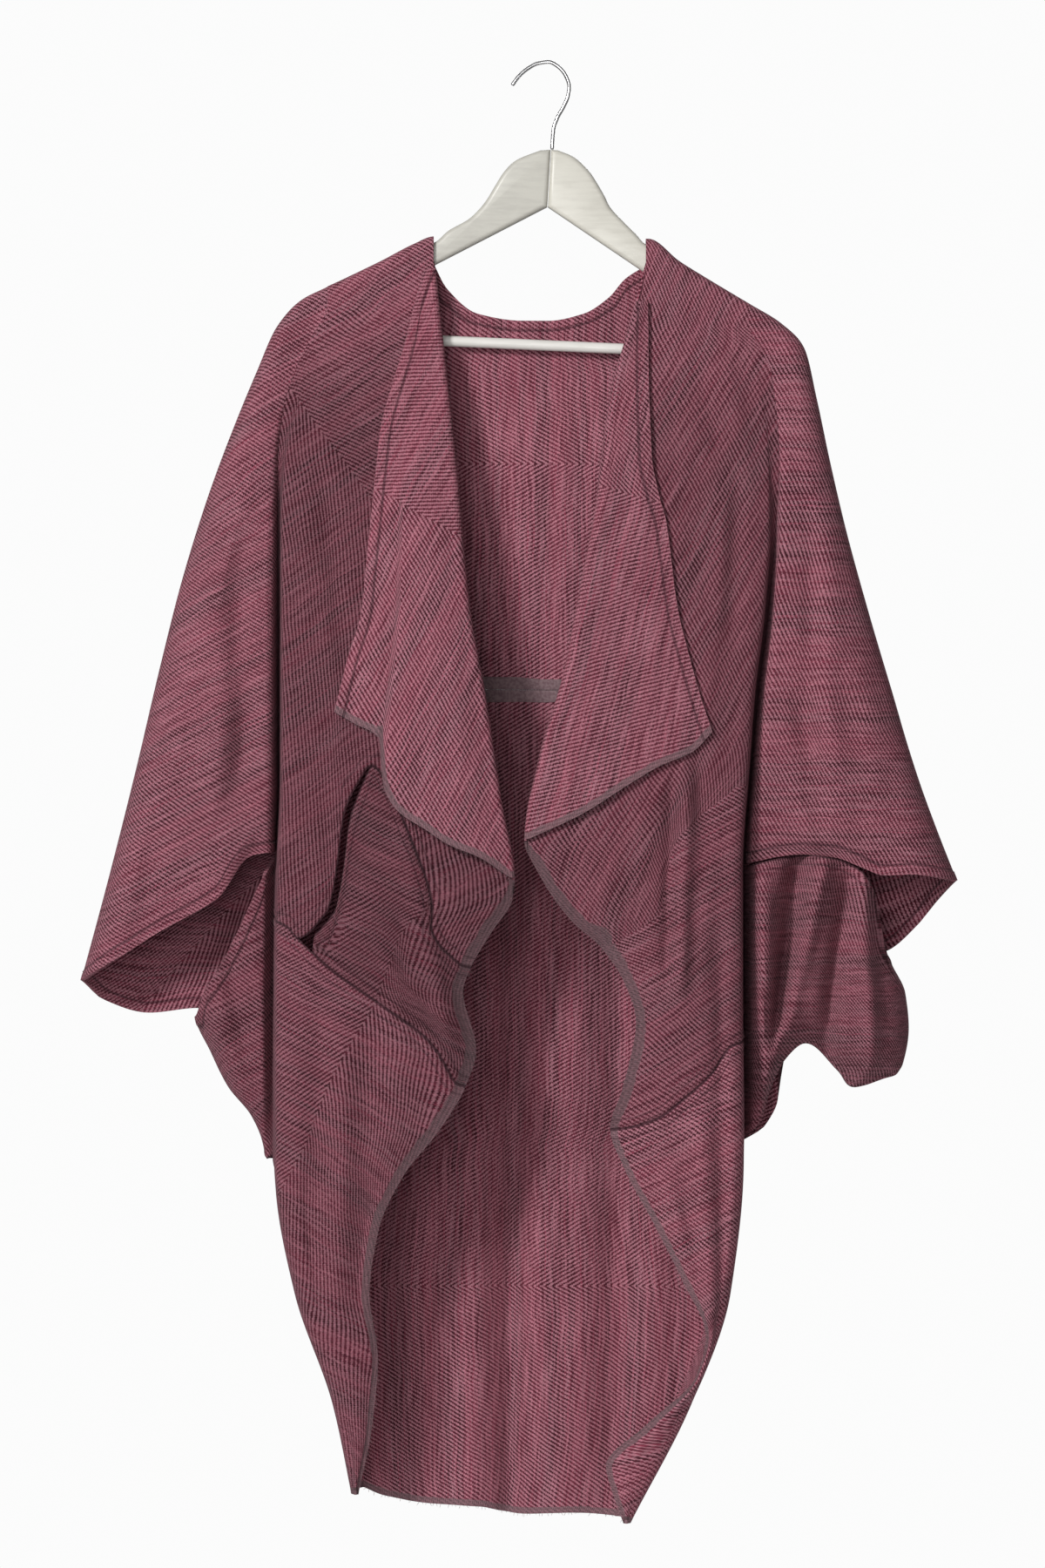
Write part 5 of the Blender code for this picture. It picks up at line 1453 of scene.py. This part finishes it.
def weave_group():
    """Handwoven herringbone twill: slub weft yarns with warp floats over them in slanting ridges."""
    if "herringbone weave" in bpy.data.node_groups:
        return bpy.data.node_groups["herringbone weave"]
    tree, given, result = new_group("herringbone weave", [
        ("Place", "NodeSocketVector", None),
        ("Ridge Spacing", "NodeSocketFloat", 3.1),
        ("Reversal Length", "NodeSocketFloat", WEFT_REPEAT),
        ("Warp Colour", "NodeSocketColor", (0.37, 0.16, 0.20, 1)),
        ("Weft Colour", "NodeSocketColor", (0.075, 0.012, 0.021, 1)),
        ("Slub Colour", "NodeSocketColor", (0.28, 0.05, 0.085, 1)),
    ], [("Colour", "NodeSocketColor"), ("Height", "NodeSocketFloat")])
    place_at, flat = in_millimetres(tree, given["Place"])
    drift = noise(tree, place_at, 0.035, 2.0)
    shake = noise(tree, place_at, 0.45, 1.0)
    along = plus(tree, flat[0], times(tree, minus(tree, shake, 0.5), 1.1))
    across = plus(tree, flat[1], times(tree, minus(tree, drift, 0.5), 5.0))
    across = plus(tree, across, times(tree, minus(tree, shake, 0.5), 0.8))

    yarn = calc(tree, "FLOOR", calc(tree, "DIVIDE", across, WEFT_YARN))
    within = calc(tree, "FRACT", calc(tree, "DIVIDE", across, WEFT_YARN))
    centre = times(tree, yarn, WEFT_YARN)
    warp_yarn = calc(tree, "FLOOR", calc(tree, "DIVIDE", along, WARP_YARN))
    warp_within = calc(tree, "FRACT", calc(tree, "DIVIDE", along, WARP_YARN))

    turned = calc(tree, "PINGPONG", along, given["Reversal Length"])
    slant = minus(tree, times(tree, centre, RIDGE_SLOPE[0]), times(tree, turned, RIDGE_SLOPE[1]))
    turns = calc(tree, "DIVIDE", slant, given["Ridge Spacing"])
    wave = calc(tree, "COSINE", times(tree, turns, 2 * math.pi))
    streak = join(tree, times(tree, along, 0.022), times(tree, across, 0.5))
    streak = noise(tree, streak, 1.0, 3.0)
    wave = plus(tree, wave, times(tree, minus(tree, streak, 0.5), 4.0))
    ridge = ramp(tree, wave, -0.75, 0.45)

    stretched = join(tree, times(tree, along, 0.009), times(tree, yarn, 0.83))
    slub = ramp(tree, noise(tree, stretched, 1.0, 2.0), 0.45, 0.68)
    banded = noise(tree, join(tree, times(tree, along, 0.0015), times(tree, across, 0.05)), 1.0, 3.0)
    tint = random_value(tree, yarn)
    weft = mix(tree, slub, given["Weft Colour"], given["Slub Colour"])
    weft = mix(tree, ramp(tree, banded, 0.38, 0.66, 0.0, 0.55), weft, given["Slub Colour"])
    weft = mix(tree, times(tree, tint, 0.35), weft, (0.05, 0.012, 0.02, 1))
    warp_tint = random_value(tree, plus(tree, warp_yarn, 0.5))
    warp = mix(tree, times(tree, warp_tint, 0.3), given["Warp Colour"], (0.27, 0.15, 0.165, 1))
    warp = mix(tree, ramp(tree, banded, 0.3, 0.7, 0.0, 0.35), warp, (0.42, 0.13, 0.17, 1))
    fuzz = noise(tree, place_at, 2.2, 2.0)
    cover = times(tree, ridge, ramp(tree, fuzz, 0.2, 0.62, 0.62, 0.96))
    colour = mix(tree, cover, weft, warp)
    weft_round = calc(tree, "SINE", times(tree, within, math.pi))
    warp_round = calc(tree, "SINE", times(tree, warp_within, math.pi))
    low = times(tree, weft_round, 0.45)
    high = plus(tree, times(tree, warp_round, 0.2), 0.75)
    low = times(tree, low, minus(tree, 1.0, ridge))
    height = plus(tree, times(tree, high, ridge), low)
    height = plus(tree, height, times(tree, fuzz, 0.25))
    # Painted shade and light: by their height, the hollows between the yarns are darkened and the raised
    # floats lightened. The lumps below are the yarn's own uneven colour.
    shade = ramp(tree, height, 0.1, 0.95, 0.5, 1.14)
    lumps = noise(tree, place_at, 0.55, 2.0)
    shade = times(tree, shade, ramp(tree, lumps, 0.3, 0.7, 0.78, 1.22))
    tree.links.new(shaded(tree, colour, shade), result["Colour"])
    tree.links.new(height, result["Height"])
    return tree


def edge_group():
    """Grey ribbed selvedge along some edges, a pressed, doubled hem along others, and pressed seams, with
    painted shade along the hem's pressed line and in the seams, and a painted highlight on the hem's folded
    edge.
    """
    if "cloth edges" in bpy.data.node_groups:
        return bpy.data.node_groups["cloth edges"]
    tree, given, result = new_group("cloth edges", [
        ("Colour", "NodeSocketColor", (0.3, 0.1, 0.13, 1)),
        ("Height", "NodeSocketFloat", 0.0),
        ("Selvedge", "NodeSocketVector", None),
        ("Hem", "NodeSocketVector", None),
        ("Seam", "NodeSocketVector", None),
        ("Width", "NodeSocketFloat", 5.0),
        ("Grey", "NodeSocketColor", (0.165, 0.108, 0.118, 1)),
    ], [("Colour", "NodeSocketColor"), ("Height", "NodeSocketFloat")])
    selvedge, place_at = in_millimetres(tree, given["Selvedge"])
    wobble = noise(tree, join(tree, times(tree, place_at[0], 0.09), 0.0), 1.0, 2.0)
    inside = minus(tree, place_at[1], times(tree, wobble, 3.0))
    edge = minus(tree, inside, given["Width"])
    mask = ramp(tree, edge, -1.6, -0.4, 1.0, 0.0)
    rib = calc(tree, "COSINE", times(tree, place_at[0], 2 * math.pi / 1.7))
    line = calc(tree, "COSINE", times(tree, place_at[1], 2 * math.pi / 2.6))
    speck = noise(tree, selvedge, 0.7, 2.0)
    darker = plus(tree, times(tree, rib, 0.24), times(tree, line, 0.1))
    darker = plus(tree, darker, ramp(tree, speck, 0.3, 0.7, 0.72, 1.2))
    grey = mix(tree, 0.26, shaded(tree, given["Grey"], darker), given["Colour"])
    colour = mix(tree, mask, given["Colour"], grey)
    rib_height = plus(tree, times(tree, rib, 0.18), 0.35)
    height = add_node(tree, "ShaderNodeMix", mask, data_type="FLOAT")
    tree.links.new(given["Height"], height.inputs[2])
    tree.links.new(rib_height, height.inputs[3])

    hem_place = in_millimetres(tree, given["Hem"])[1]
    # Painted shade: a dark line along the hem's pressed fold, mixed toward the seam's painted shade. The same
    # mask sinks the relief.
    off = calc(tree, "ABSOLUTE", minus(tree, hem_place[1], HEM_WIDTH + 0.8))
    pressed = ramp(tree, off, 0.2, 1.8, 1.0, 0.0)
    colour = mix(tree, times(tree, pressed, 0.6), colour, SEAM_SHADE)
    # Painted highlight: the hem's folded edge is lightened within 1.6 mm of it.
    rim = ramp(tree, hem_place[1], 0.0, 1.6, 1.0, 0.0)
    colour = mix(tree, times(tree, rim, 0.3), colour, (0.33, 0.14, 0.17, 1))
    height = minus(tree, height.outputs[0], times(tree, pressed, 0.6))

    seam_place = in_millimetres(tree, given["Seam"])[1]
    # Painted shade: the seam's groove and a line along the edge of the raised band beside it are darkened
    # toward the seam's painted shade. The same mask sinks the relief.
    groove = ramp(tree, seam_place[1], 0.5, 1.9, 1.0, 0.0)
    off = calc(tree, "ABSOLUTE", minus(tree, seam_place[1], SEAM_BAND))
    band_edge_shade = ramp(tree, off, 0.2, 1.4, 1.0, 0.0)
    dark = calc(tree, "MAXIMUM", times(tree, groove, 0.75), times(tree, band_edge_shade, 0.4))
    colour = mix(tree, dark, colour, SEAM_SHADE)
    height = minus(tree, height, times(tree, dark, 0.8))
    tree.links.new(colour, result["Colour"])
    tree.links.new(height, result["Height"])
    return tree


def new_material(name):
    """A material with its nodes and its shader."""
    made = bpy.data.materials.new(name)
    made.use_nodes = True
    return made, made.node_tree, made.node_tree.nodes["Principled BSDF"]


def use_group(tree, group):
    """A node that runs a node group."""
    made = tree.nodes.new("ShaderNodeGroup")
    made.node_tree = group
    return made


def cloth_material():
    """Soft, matte herringbone cloth with its selvedges and hems, and each piece's painted shade."""
    if "herringbone cloth" in bpy.data.materials:
        return bpy.data.materials["herringbone cloth"]
    made, tree, shader = new_material("herringbone cloth")
    maps = {name: add_node(tree, "ShaderNodeUVMap", uv_map=name).outputs[0] for name in MAPS}
    weave = use_group(tree, weave_group())
    tree.links.new(maps["weave"], weave.inputs["Place"])
    weave.inputs["Ridge Spacing"].default_value = settings().ridge_spacing * 1000
    weave.inputs["Warp Colour"].default_value = (*settings().warp_colour, 1)
    weave.inputs["Weft Colour"].default_value = (*settings().weft_colour, 1)
    weave.inputs["Slub Colour"].default_value = (*settings().slub_colour, 1)
    edges = use_group(tree, edge_group())
    tree.links.new(weave.outputs["Colour"], edges.inputs["Colour"])
    tree.links.new(weave.outputs["Height"], edges.inputs["Height"])
    tree.links.new(maps["selvedge"], edges.inputs["Selvedge"])
    tree.links.new(maps["hem"], edges.inputs["Hem"])
    tree.links.new(maps["seam"], edges.inputs["Seam"])
    # Painted shade: the object's colour darkens each piece that lies in shade and lightens a few as painted
    # light, and over the shoulders it gives way to one even painted shade.
    painted_shade = add_node(tree, "ShaderNodeObjectInfo").outputs["Color"]
    place_at = add_node(tree, "ShaderNodeTexCoord").outputs["Object"]
    height = add_node(tree, "ShaderNodeSeparateXYZ", place_at).outputs[2]
    painted_shade = mix(tree, ramp(tree, height, *PAINTED_SHADE_LEVELS), painted_shade, SHOULDER_PAINTED_SHADE)
    tree.links.new(mix(tree, 1.0, edges.outputs["Colour"], painted_shade, "MULTIPLY"), shader.inputs["Base Color"])
    add_bump(tree, shader, edges.outputs["Height"], 1.0, 0.0008)
    shader.inputs["Roughness"].default_value = 0.9
    shader.inputs["Specular IOR Level"].default_value = 0.12
    shader.inputs["Sheen Weight"].default_value = 0.1
    shader.inputs["Sheen Roughness"].default_value = 0.5
    shader.inputs["Sheen Tint"].default_value = (0.9, 0.6, 0.66, 1)
    return made


def yarn_material(name, colour, other, scale):
    """Twisted yarn with an uneven colour."""
    if name in bpy.data.materials:
        return bpy.data.materials[name]
    made, tree, shader = new_material(name)
    place_at = add_node(tree, "ShaderNodeTexCoord").outputs["Object"]
    speck = noise(tree, place_at, scale, 3.0)
    tree.links.new(mix(tree, ramp(tree, speck, 0.35, 0.65), colour, other), shader.inputs["Base Color"])
    rib = add_node(tree, "ShaderNodeTexWave", place_at, scale * 1.3, 1.5)
    add_bump(tree, shader, rib.outputs[1], 0.5, 0.0004)
    shader.inputs["Roughness"].default_value = 0.88
    shader.inputs["Specular IOR Level"].default_value = 0.2
    shader.inputs["Sheen Weight"].default_value = 0.2
    return made


def selvedge_material():
    """Grey-mauve warp yarn, as in the selvedges."""
    return yarn_material("selvedge yarn", (0.16, 0.095, 0.108, 1), (0.235, 0.155, 0.165, 1), 420.0)


def thread_material():
    """Burgundy sewing thread."""
    return yarn_material("sewing thread", (0.12, 0.03, 0.045, 1), (0.22, 0.075, 0.095, 1), 500.0)


def paint_material(name, colour, darker, roughness):
    """Satin paint on wood, with faint grain, brush marks and rubbed places."""
    if name in bpy.data.materials:
        return bpy.data.materials[name]
    made, tree, shader = new_material(name)
    place_at = add_node(tree, "ShaderNodeTexCoord").outputs["Object"]
    stretched = add_node(tree, "ShaderNodeMapping", place_at)
    stretched.inputs["Scale"].default_value = (14.0, 60.0, 90.0)
    grain = noise(tree, stretched.outputs[0], 3.0, 5.0)
    blotch = noise(tree, place_at, 22.0, 3.0)
    worn = plus(tree, times(tree, grain, 0.55), times(tree, blotch, 0.45))
    tree.links.new(mix(tree, ramp(tree, worn, 0.38, 0.66), colour, darker), shader.inputs["Base Color"])
    rubbed = ramp(tree, blotch, 0.3, 0.7, roughness - 0.07, roughness + 0.1)
    tree.links.new(rubbed, shader.inputs["Roughness"])
    add_bump(tree, shader, grain, 0.25, 0.0004)
    shader.inputs["Coat Weight"].default_value = 0.15
    shader.inputs["Coat Roughness"].default_value = 0.3
    return made


def wire_material():
    """Bright chrome plating with faint rubbing marks."""
    made, tree, shader = new_material("hook chrome")
    place_at = add_node(tree, "ShaderNodeTexCoord").outputs["Object"]
    marks = noise(tree, place_at, 260.0, 3.0)
    colour = mix(tree, ramp(tree, marks, 0.4, 0.7), (0.72, 0.72, 0.73, 1), (0.58, 0.57, 0.57, 1))
    tree.links.new(colour, shader.inputs["Base Color"])
    tree.links.new(ramp(tree, marks, 0.3, 0.7, 0.1, 0.24), shader.inputs["Roughness"])
    shader.inputs["Metallic"].default_value = 1.0
    return made


def round_line(points, spacing=3.0):
    """A smooth line through points."""
    points = np.array(points, float)
    run = run_along(points)
    padded = np.concatenate([[2 * points[0] - points[1]], points, [2 * points[-1] - points[-2]]])
    made = []
    for i in range(len(points) - 1):
        p, q, r, s = padded[i : i + 4]
        for t in np.linspace(0, 1, max(2, round((run[i + 1] - run[i]) / spacing)) + 1)[:-1]:
            bend = (2 * p - 5 * q + 4 * r - s) * t * t + (3 * q - 3 * r + s - p) * t**3
            made.append(0.5 * (2 * q + (r - p) * t + bend))
    return made + [points[-1]]


def make_arm(name, outline, colour, darker):
    """A wooden arm: its outline with rounded edges, as rings from the front to the back."""
    outline = np.array(outline, float)
    before, after = np.roll(outline, 1, axis=0), np.roll(outline, -1, axis=0)
    first, second = unit(outline - before), unit(after - outline)
    side = np.stack([first[:, 1] + second[:, 1], -first[:, 0] - second[:, 0]], 1)
    turn = np.clip(1 / np.maximum(np.sqrt((1 + (first * second).sum(axis=1)) / 2), 0.7), 1, 1.4)
    area = 0.5 * np.sum(before[:, 0] * outline[:, 1] - outline[:, 0] * before[:, 1])
    outward = unit(side) * turn[:, None] * math.copysign(1, area)
    rings = []
    for degrees in (-90, -70, -50, -30, -12, 12, 30, 50, 70, 90):
        angle = math.radians(degrees)
        inset = WOOD_ROUND * (1 - math.cos(angle))
        depth = math.copysign(WOOD_HALF - WOOD_ROUND, degrees) + WOOD_ROUND * math.sin(angle)
        flat = outline - outward * inset
        rings.append(np.stack([flat[:, 0], np.full(len(flat), depth), flat[:, 1]], 1))
    faces = tube_faces(len(rings), len(outline))
    finish = paint_material("paint " + name, colour, darker, 0.42)
    obj = object_of("wood_" + name, np.concatenate(rings), faces, finish, "painted_wood")
    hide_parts(name)


def make_rod(name, points, radius, finish, slot, sides=16):
    """A round rod through points in the coat's middle plane, with rounded ends."""
    points = np.array(points, float)
    heading = unit(np.gradient(points, axis=0))
    out = np.array([0.0, 1.0, 0.0])
    run = run_along(points)
    rings = []
    for centre, along, start in zip(points, heading, run):
        near = min(start, run[-1] - start, radius * 0.5) / (radius * 0.5)
        width = radius * (0.72 + 0.28 * math.sqrt(max(0.0, 1 - (1 - near) ** 2)))
        side = np.cross(along, out)
        for turn in range(sides):
            angle = 2 * math.pi * turn / sides
            rings.append(centre + (side * math.cos(angle) + out * math.sin(angle)) * width)
    obj = object_of("rod_" + name, rings, tube_faces(len(points), sides), finish, slot)
    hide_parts(name)


def make_hanger():
    """Both wooden arms, the rail between them and the wire hook."""
    left_top = [(x, float(SHOULDER(x)) - ARM_BELOW_CLOTH) for x in ARM_LEFT_STEPS]
    right_top = [(x, float(SHOULDER(x)) - ARM_BELOW_CLOTH) for x in ARM_RIGHT_STEPS]
    half = JOINT_GAP / 2
    left = [(JOINT_TOP[0] - half, JOINT_TOP[1]), (JOINT_BOTTOM[0] - half, JOINT_BOTTOM[1])]
    left += [*LEFT_UNDERSIDE[:-1], *round_line([LEFT_UNDERSIDE[-1], *left_top, *LEFT_NECK])]
    right = [(JOINT_BOTTOM[0] + half, JOINT_BOTTOM[1]), (JOINT_TOP[0] + half, JOINT_TOP[1])]
    right += [*round_line([*RIGHT_NECK, *right_top, RIGHT_UNDERSIDE[0]]), *RIGHT_UNDERSIDE[1:]]
    # Both arms wear the same white paint. The left arm's colours are darker as painted shade, for it faces
    # away from the light.
    make_arm("hanger_arm_left", left, (0.53, 0.515, 0.46, 1), (0.46, 0.445, 0.40, 1))
    make_arm("hanger_arm_right", right, (0.61, 0.59, 0.525, 1), (0.53, 0.51, 0.45, 1))
    start, end = np.array([RAIL_LEFT[0], 0, RAIL_LEFT[1]]), np.array([RAIL_RIGHT[0], 0, RAIL_RIGHT[1]])
    near_ends = (0.6, 1.4, 2.3)
    rail = [start + (end - start) * share for share in steps(RAIL_LENGTH, near_ends, near_ends, 12.0)]
    finish = paint_material("paint rail", (0.74, 0.715, 0.68, 1), (0.66, 0.64, 0.60, 1), 0.36)
    make_rod("hanger_rail", rail, RAIL_RADIUS, finish, "white_rail", 24)
    across = smooth([(step, x) for step, (x, z) in enumerate(HOOK)])
    height = smooth([(step, z) for step, (x, z) in enumerate(HOOK)])
    along = np.linspace(0, len(HOOK) - 1, HOOK_STEPS)
    wire = [(float(across(step)), 0.0, float(height(step))) for step in along]
    make_rod("hanger_hook", wire, WIRE_RADIUS, wire_material(), "wire", 14)


def add_light(name, place_at, size, power):
    """A soft studio light that faces the coat."""
    light = bpy.data.lights.new(name, "AREA")
    light.shape = "RECTANGLE"
    light.size, light.size_y = size
    light.energy = power
    obj = bpy.data.objects.new(name, light)
    obj.location = place_at
    direction = np.array(LIGHT_TARGET) - np.array(place_at)
    tilt = math.atan2(math.hypot(direction[0], direction[1]), -direction[2])
    turn = math.atan2(direction[0], -direction[1]) + math.pi
    obj.rotation_euler = (tilt, 0.0, turn)
    bpy.context.scene.collection.objects.link(obj)


def make_stage():
    """A pale floor, soft studio light, a pale surround and the camera."""
    scene = bpy.context.scene
    mesh = bpy.data.meshes.new("floor")
    build = bmesh.new()
    bmesh.ops.create_circle(build, cap_ends=True, segments=96, radius=FLOOR_RADIUS)
    bmesh.ops.translate(build, verts=build.verts, vec=(0, 0, FLOOR_LEVEL))
    build.to_mesh(mesh)
    build.free()
    floor_material, _, shader = new_material("floor paint")
    shader.inputs["Base Color"].default_value = (0.86, 0.86, 0.86, 1)
    shader.inputs["Roughness"].default_value = 0.8
    mesh.materials.append(floor_material)
    floor = bpy.data.objects.new("floor", mesh)
    scene.collection.objects.link(floor)

    world = bpy.data.worlds.new("studio")
    world.use_nodes = True
    tree = world.node_tree
    tree.nodes.clear()
    seen = add_node(tree, "ShaderNodeBackground", (0.97, 0.97, 0.97, 1), 1.0).outputs[0]
    lit = add_node(tree, "ShaderNodeBackground", (1, 1, 1, 1), settings().surround_light).outputs[0]
    rays = add_node(tree, "ShaderNodeLightPath").outputs["Is Camera Ray"]
    both = add_node(tree, "ShaderNodeMixShader", rays, lit, seen).outputs[0]
    add_node(tree, "ShaderNodeOutputWorld", both)
    scene.world = world

    for name, place_at, size, share in LIGHTS:
        add_light(name, place_at, size, settings().key_light * share)

    camera = bpy.data.cameras.new("camera")
    camera.lens = CAMERA_LENS
    camera.sensor_width = CAMERA_SENSOR
    holder = bpy.data.objects.new("camera", camera)
    holder.location = CAMERA_PLACE
    holder.rotation_euler = (math.pi / 2, 0.0, 0.0)
    scene.collection.objects.link(holder)
    scene.camera = holder
    scene.view_settings.view_transform = "Standard"
    scene.view_settings.look = "None"


class CoatSettings(bpy.types.PropertyGroup):
    """Sizes and finishes that may be changed before the coat is dressed."""

    crease_depth: bpy.props.FloatProperty(
        name="Crease Depth", description="Depth of the small creases, as a share of their usual depth",
        default=1.0, min=0.0, max=1.5, subtype="FACTOR",
    )
    ridge_spacing: bpy.props.FloatProperty(
        name="Ridge Spacing", description="Distance between neighbouring ridges of the twill",
        default=0.0031, min=0.001, max=0.01, unit="LENGTH", subtype="DISTANCE",
    )
    warp_colour: bpy.props.FloatVectorProperty(
        name="Warp Colour", description="Colour of the light warp yarn", default=(0.37, 0.16, 0.20),
        min=0.0, max=1.0, size=3, subtype="COLOR",
    )
    weft_colour: bpy.props.FloatVectorProperty(
        name="Weft Colour", description="Colour of the dark weft yarn", default=(0.075, 0.012, 0.021),
        min=0.0, max=1.0, size=3, subtype="COLOR",
    )
    slub_colour: bpy.props.FloatVectorProperty(
        name="Slub Colour", description="Colour of the thick, uneven weft yarn", default=(0.28, 0.05, 0.085),
        min=0.0, max=1.0, size=3, subtype="COLOR",
    )
    key_light: bpy.props.FloatProperty(
        name="Key Light", description="Power of the main studio light", default=90.0, min=0.0, max=1000.0,
        subtype="POWER", unit="POWER",
    )
    surround_light: bpy.props.FloatProperty(
        name="Surround Light", description="Strength of the even light from all round", default=0.2,
        min=0.0, max=3.0, subtype="FACTOR",
    )


class COAT_OT_fronts(bpy.types.Operator):
    """Make the upper, middle and lower piece of both fronts"""

    bl_idname = "coat.fronts"
    bl_label = "Make Fronts"

    def execute(self, context):
        make_front(LEFT_FRONT)
        make_front(RIGHT_FRONT)
        return {"FINISHED"}


class COAT_OT_lapels(bpy.types.Operator):
    """Make the two rolled lapels"""

    bl_idname = "coat.lapels"
    bl_label = "Make Lapels"

    def execute(self, context):
        make_lapel(LEFT_FRONT)
        make_lapel(RIGHT_FRONT)
        return {"FINISHED"}


class COAT_OT_back(bpy.types.Operator):
    """Make the two pieces of the back and the pressed-open seam between them"""

    bl_idname = "coat.back"
    bl_label = "Make Back"

    def execute(self, context):
        make_back()
        make_allowances()
        return {"FINISHED"}


class COAT_OT_sleeves(bpy.types.Operator):
    """Make the two sleeves with their turned cuffs"""

    bl_idname = "coat.sleeves"
    bl_label = "Make Sleeves"

    def execute(self, context):
        make_sleeve(LEFT_ARM)
        make_sleeve(RIGHT_ARM)
        return {"FINISHED"}


class COAT_OT_sides(bpy.types.Operator):
    """Make the hanging pieces below the sleeves"""

    bl_idname = "coat.sides"
    bl_label = "Make Side Pieces"

    def execute(self, context):
        make_side(LEFT_BAG)
        make_side(RIGHT_BAG)
        return {"FINISHED"}


class COAT_OT_sewing(bpy.types.Operator):
    """Sew the hems and seams, and fray the selvedges"""

    bl_idname = "coat.sewing"
    bl_label = "Make Sewing and Frayed Edges"

    def execute(self, context):
        make_stitching()
        make_fraying()
        return {"FINISHED"}


class COAT_OT_hanger(bpy.types.Operator):
    """Make the wooden hanger, its rail and its hook"""

    bl_idname = "coat.hanger"
    bl_label = "Make Hanger"

    def execute(self, context):
        make_hanger()
        return {"FINISHED"}


class COAT_OT_stage(bpy.types.Operator):
    """Make the floor, the light and the camera"""

    bl_idname = "coat.stage"
    bl_label = "Make Stage"

    def execute(self, context):
        make_stage()
        return {"FINISHED"}


class COAT_PT_panel(bpy.types.Panel):
    """The coat's settings and the buttons that make its pieces"""

    bl_label = "Kimono Coat"
    bl_idname = "COAT_PT_panel"
    bl_space_type = "VIEW_3D"
    bl_region_type = "UI"
    bl_category = "Coat"

    def draw(self, context):
        for name in CoatSettings.__annotations__:
            self.layout.prop(context.scene.coat_settings, name)
        for kind in OPERATORS:
            self.layout.operator(kind.bl_idname)


OPERATORS = (
    COAT_OT_stage, COAT_OT_back, COAT_OT_fronts, COAT_OT_lapels, COAT_OT_sleeves, COAT_OT_sides,
    COAT_OT_sewing, COAT_OT_hanger,
)
CLASSES = (CoatSettings, *OPERATORS, COAT_PT_panel)


def register():
    """Adds the settings, the operators and the panel."""
    for kind in CLASSES:
        bpy.utils.register_class(kind)
    bpy.types.Scene.coat_settings = bpy.props.PointerProperty(
        type=CoatSettings, name="Coat Settings", description="Sizes and finishes of the coat",
    )


def unregister():
    """Takes the settings, the operators and the panel away again."""
    del bpy.types.Scene.coat_settings
    for kind in reversed(CLASSES):
        bpy.utils.unregister_class(kind)


def main():
    """Dresses the whole coat."""
    register()
    bpy.ops.coat.stage()
    bpy.ops.coat.back()
    bpy.ops.coat.fronts()
    bpy.ops.coat.lapels()
    bpy.ops.coat.sleeves()
    bpy.ops.coat.sides()
    bpy.ops.coat.sewing()
    bpy.ops.coat.hanger()


if __name__ == "__main__":
    main()
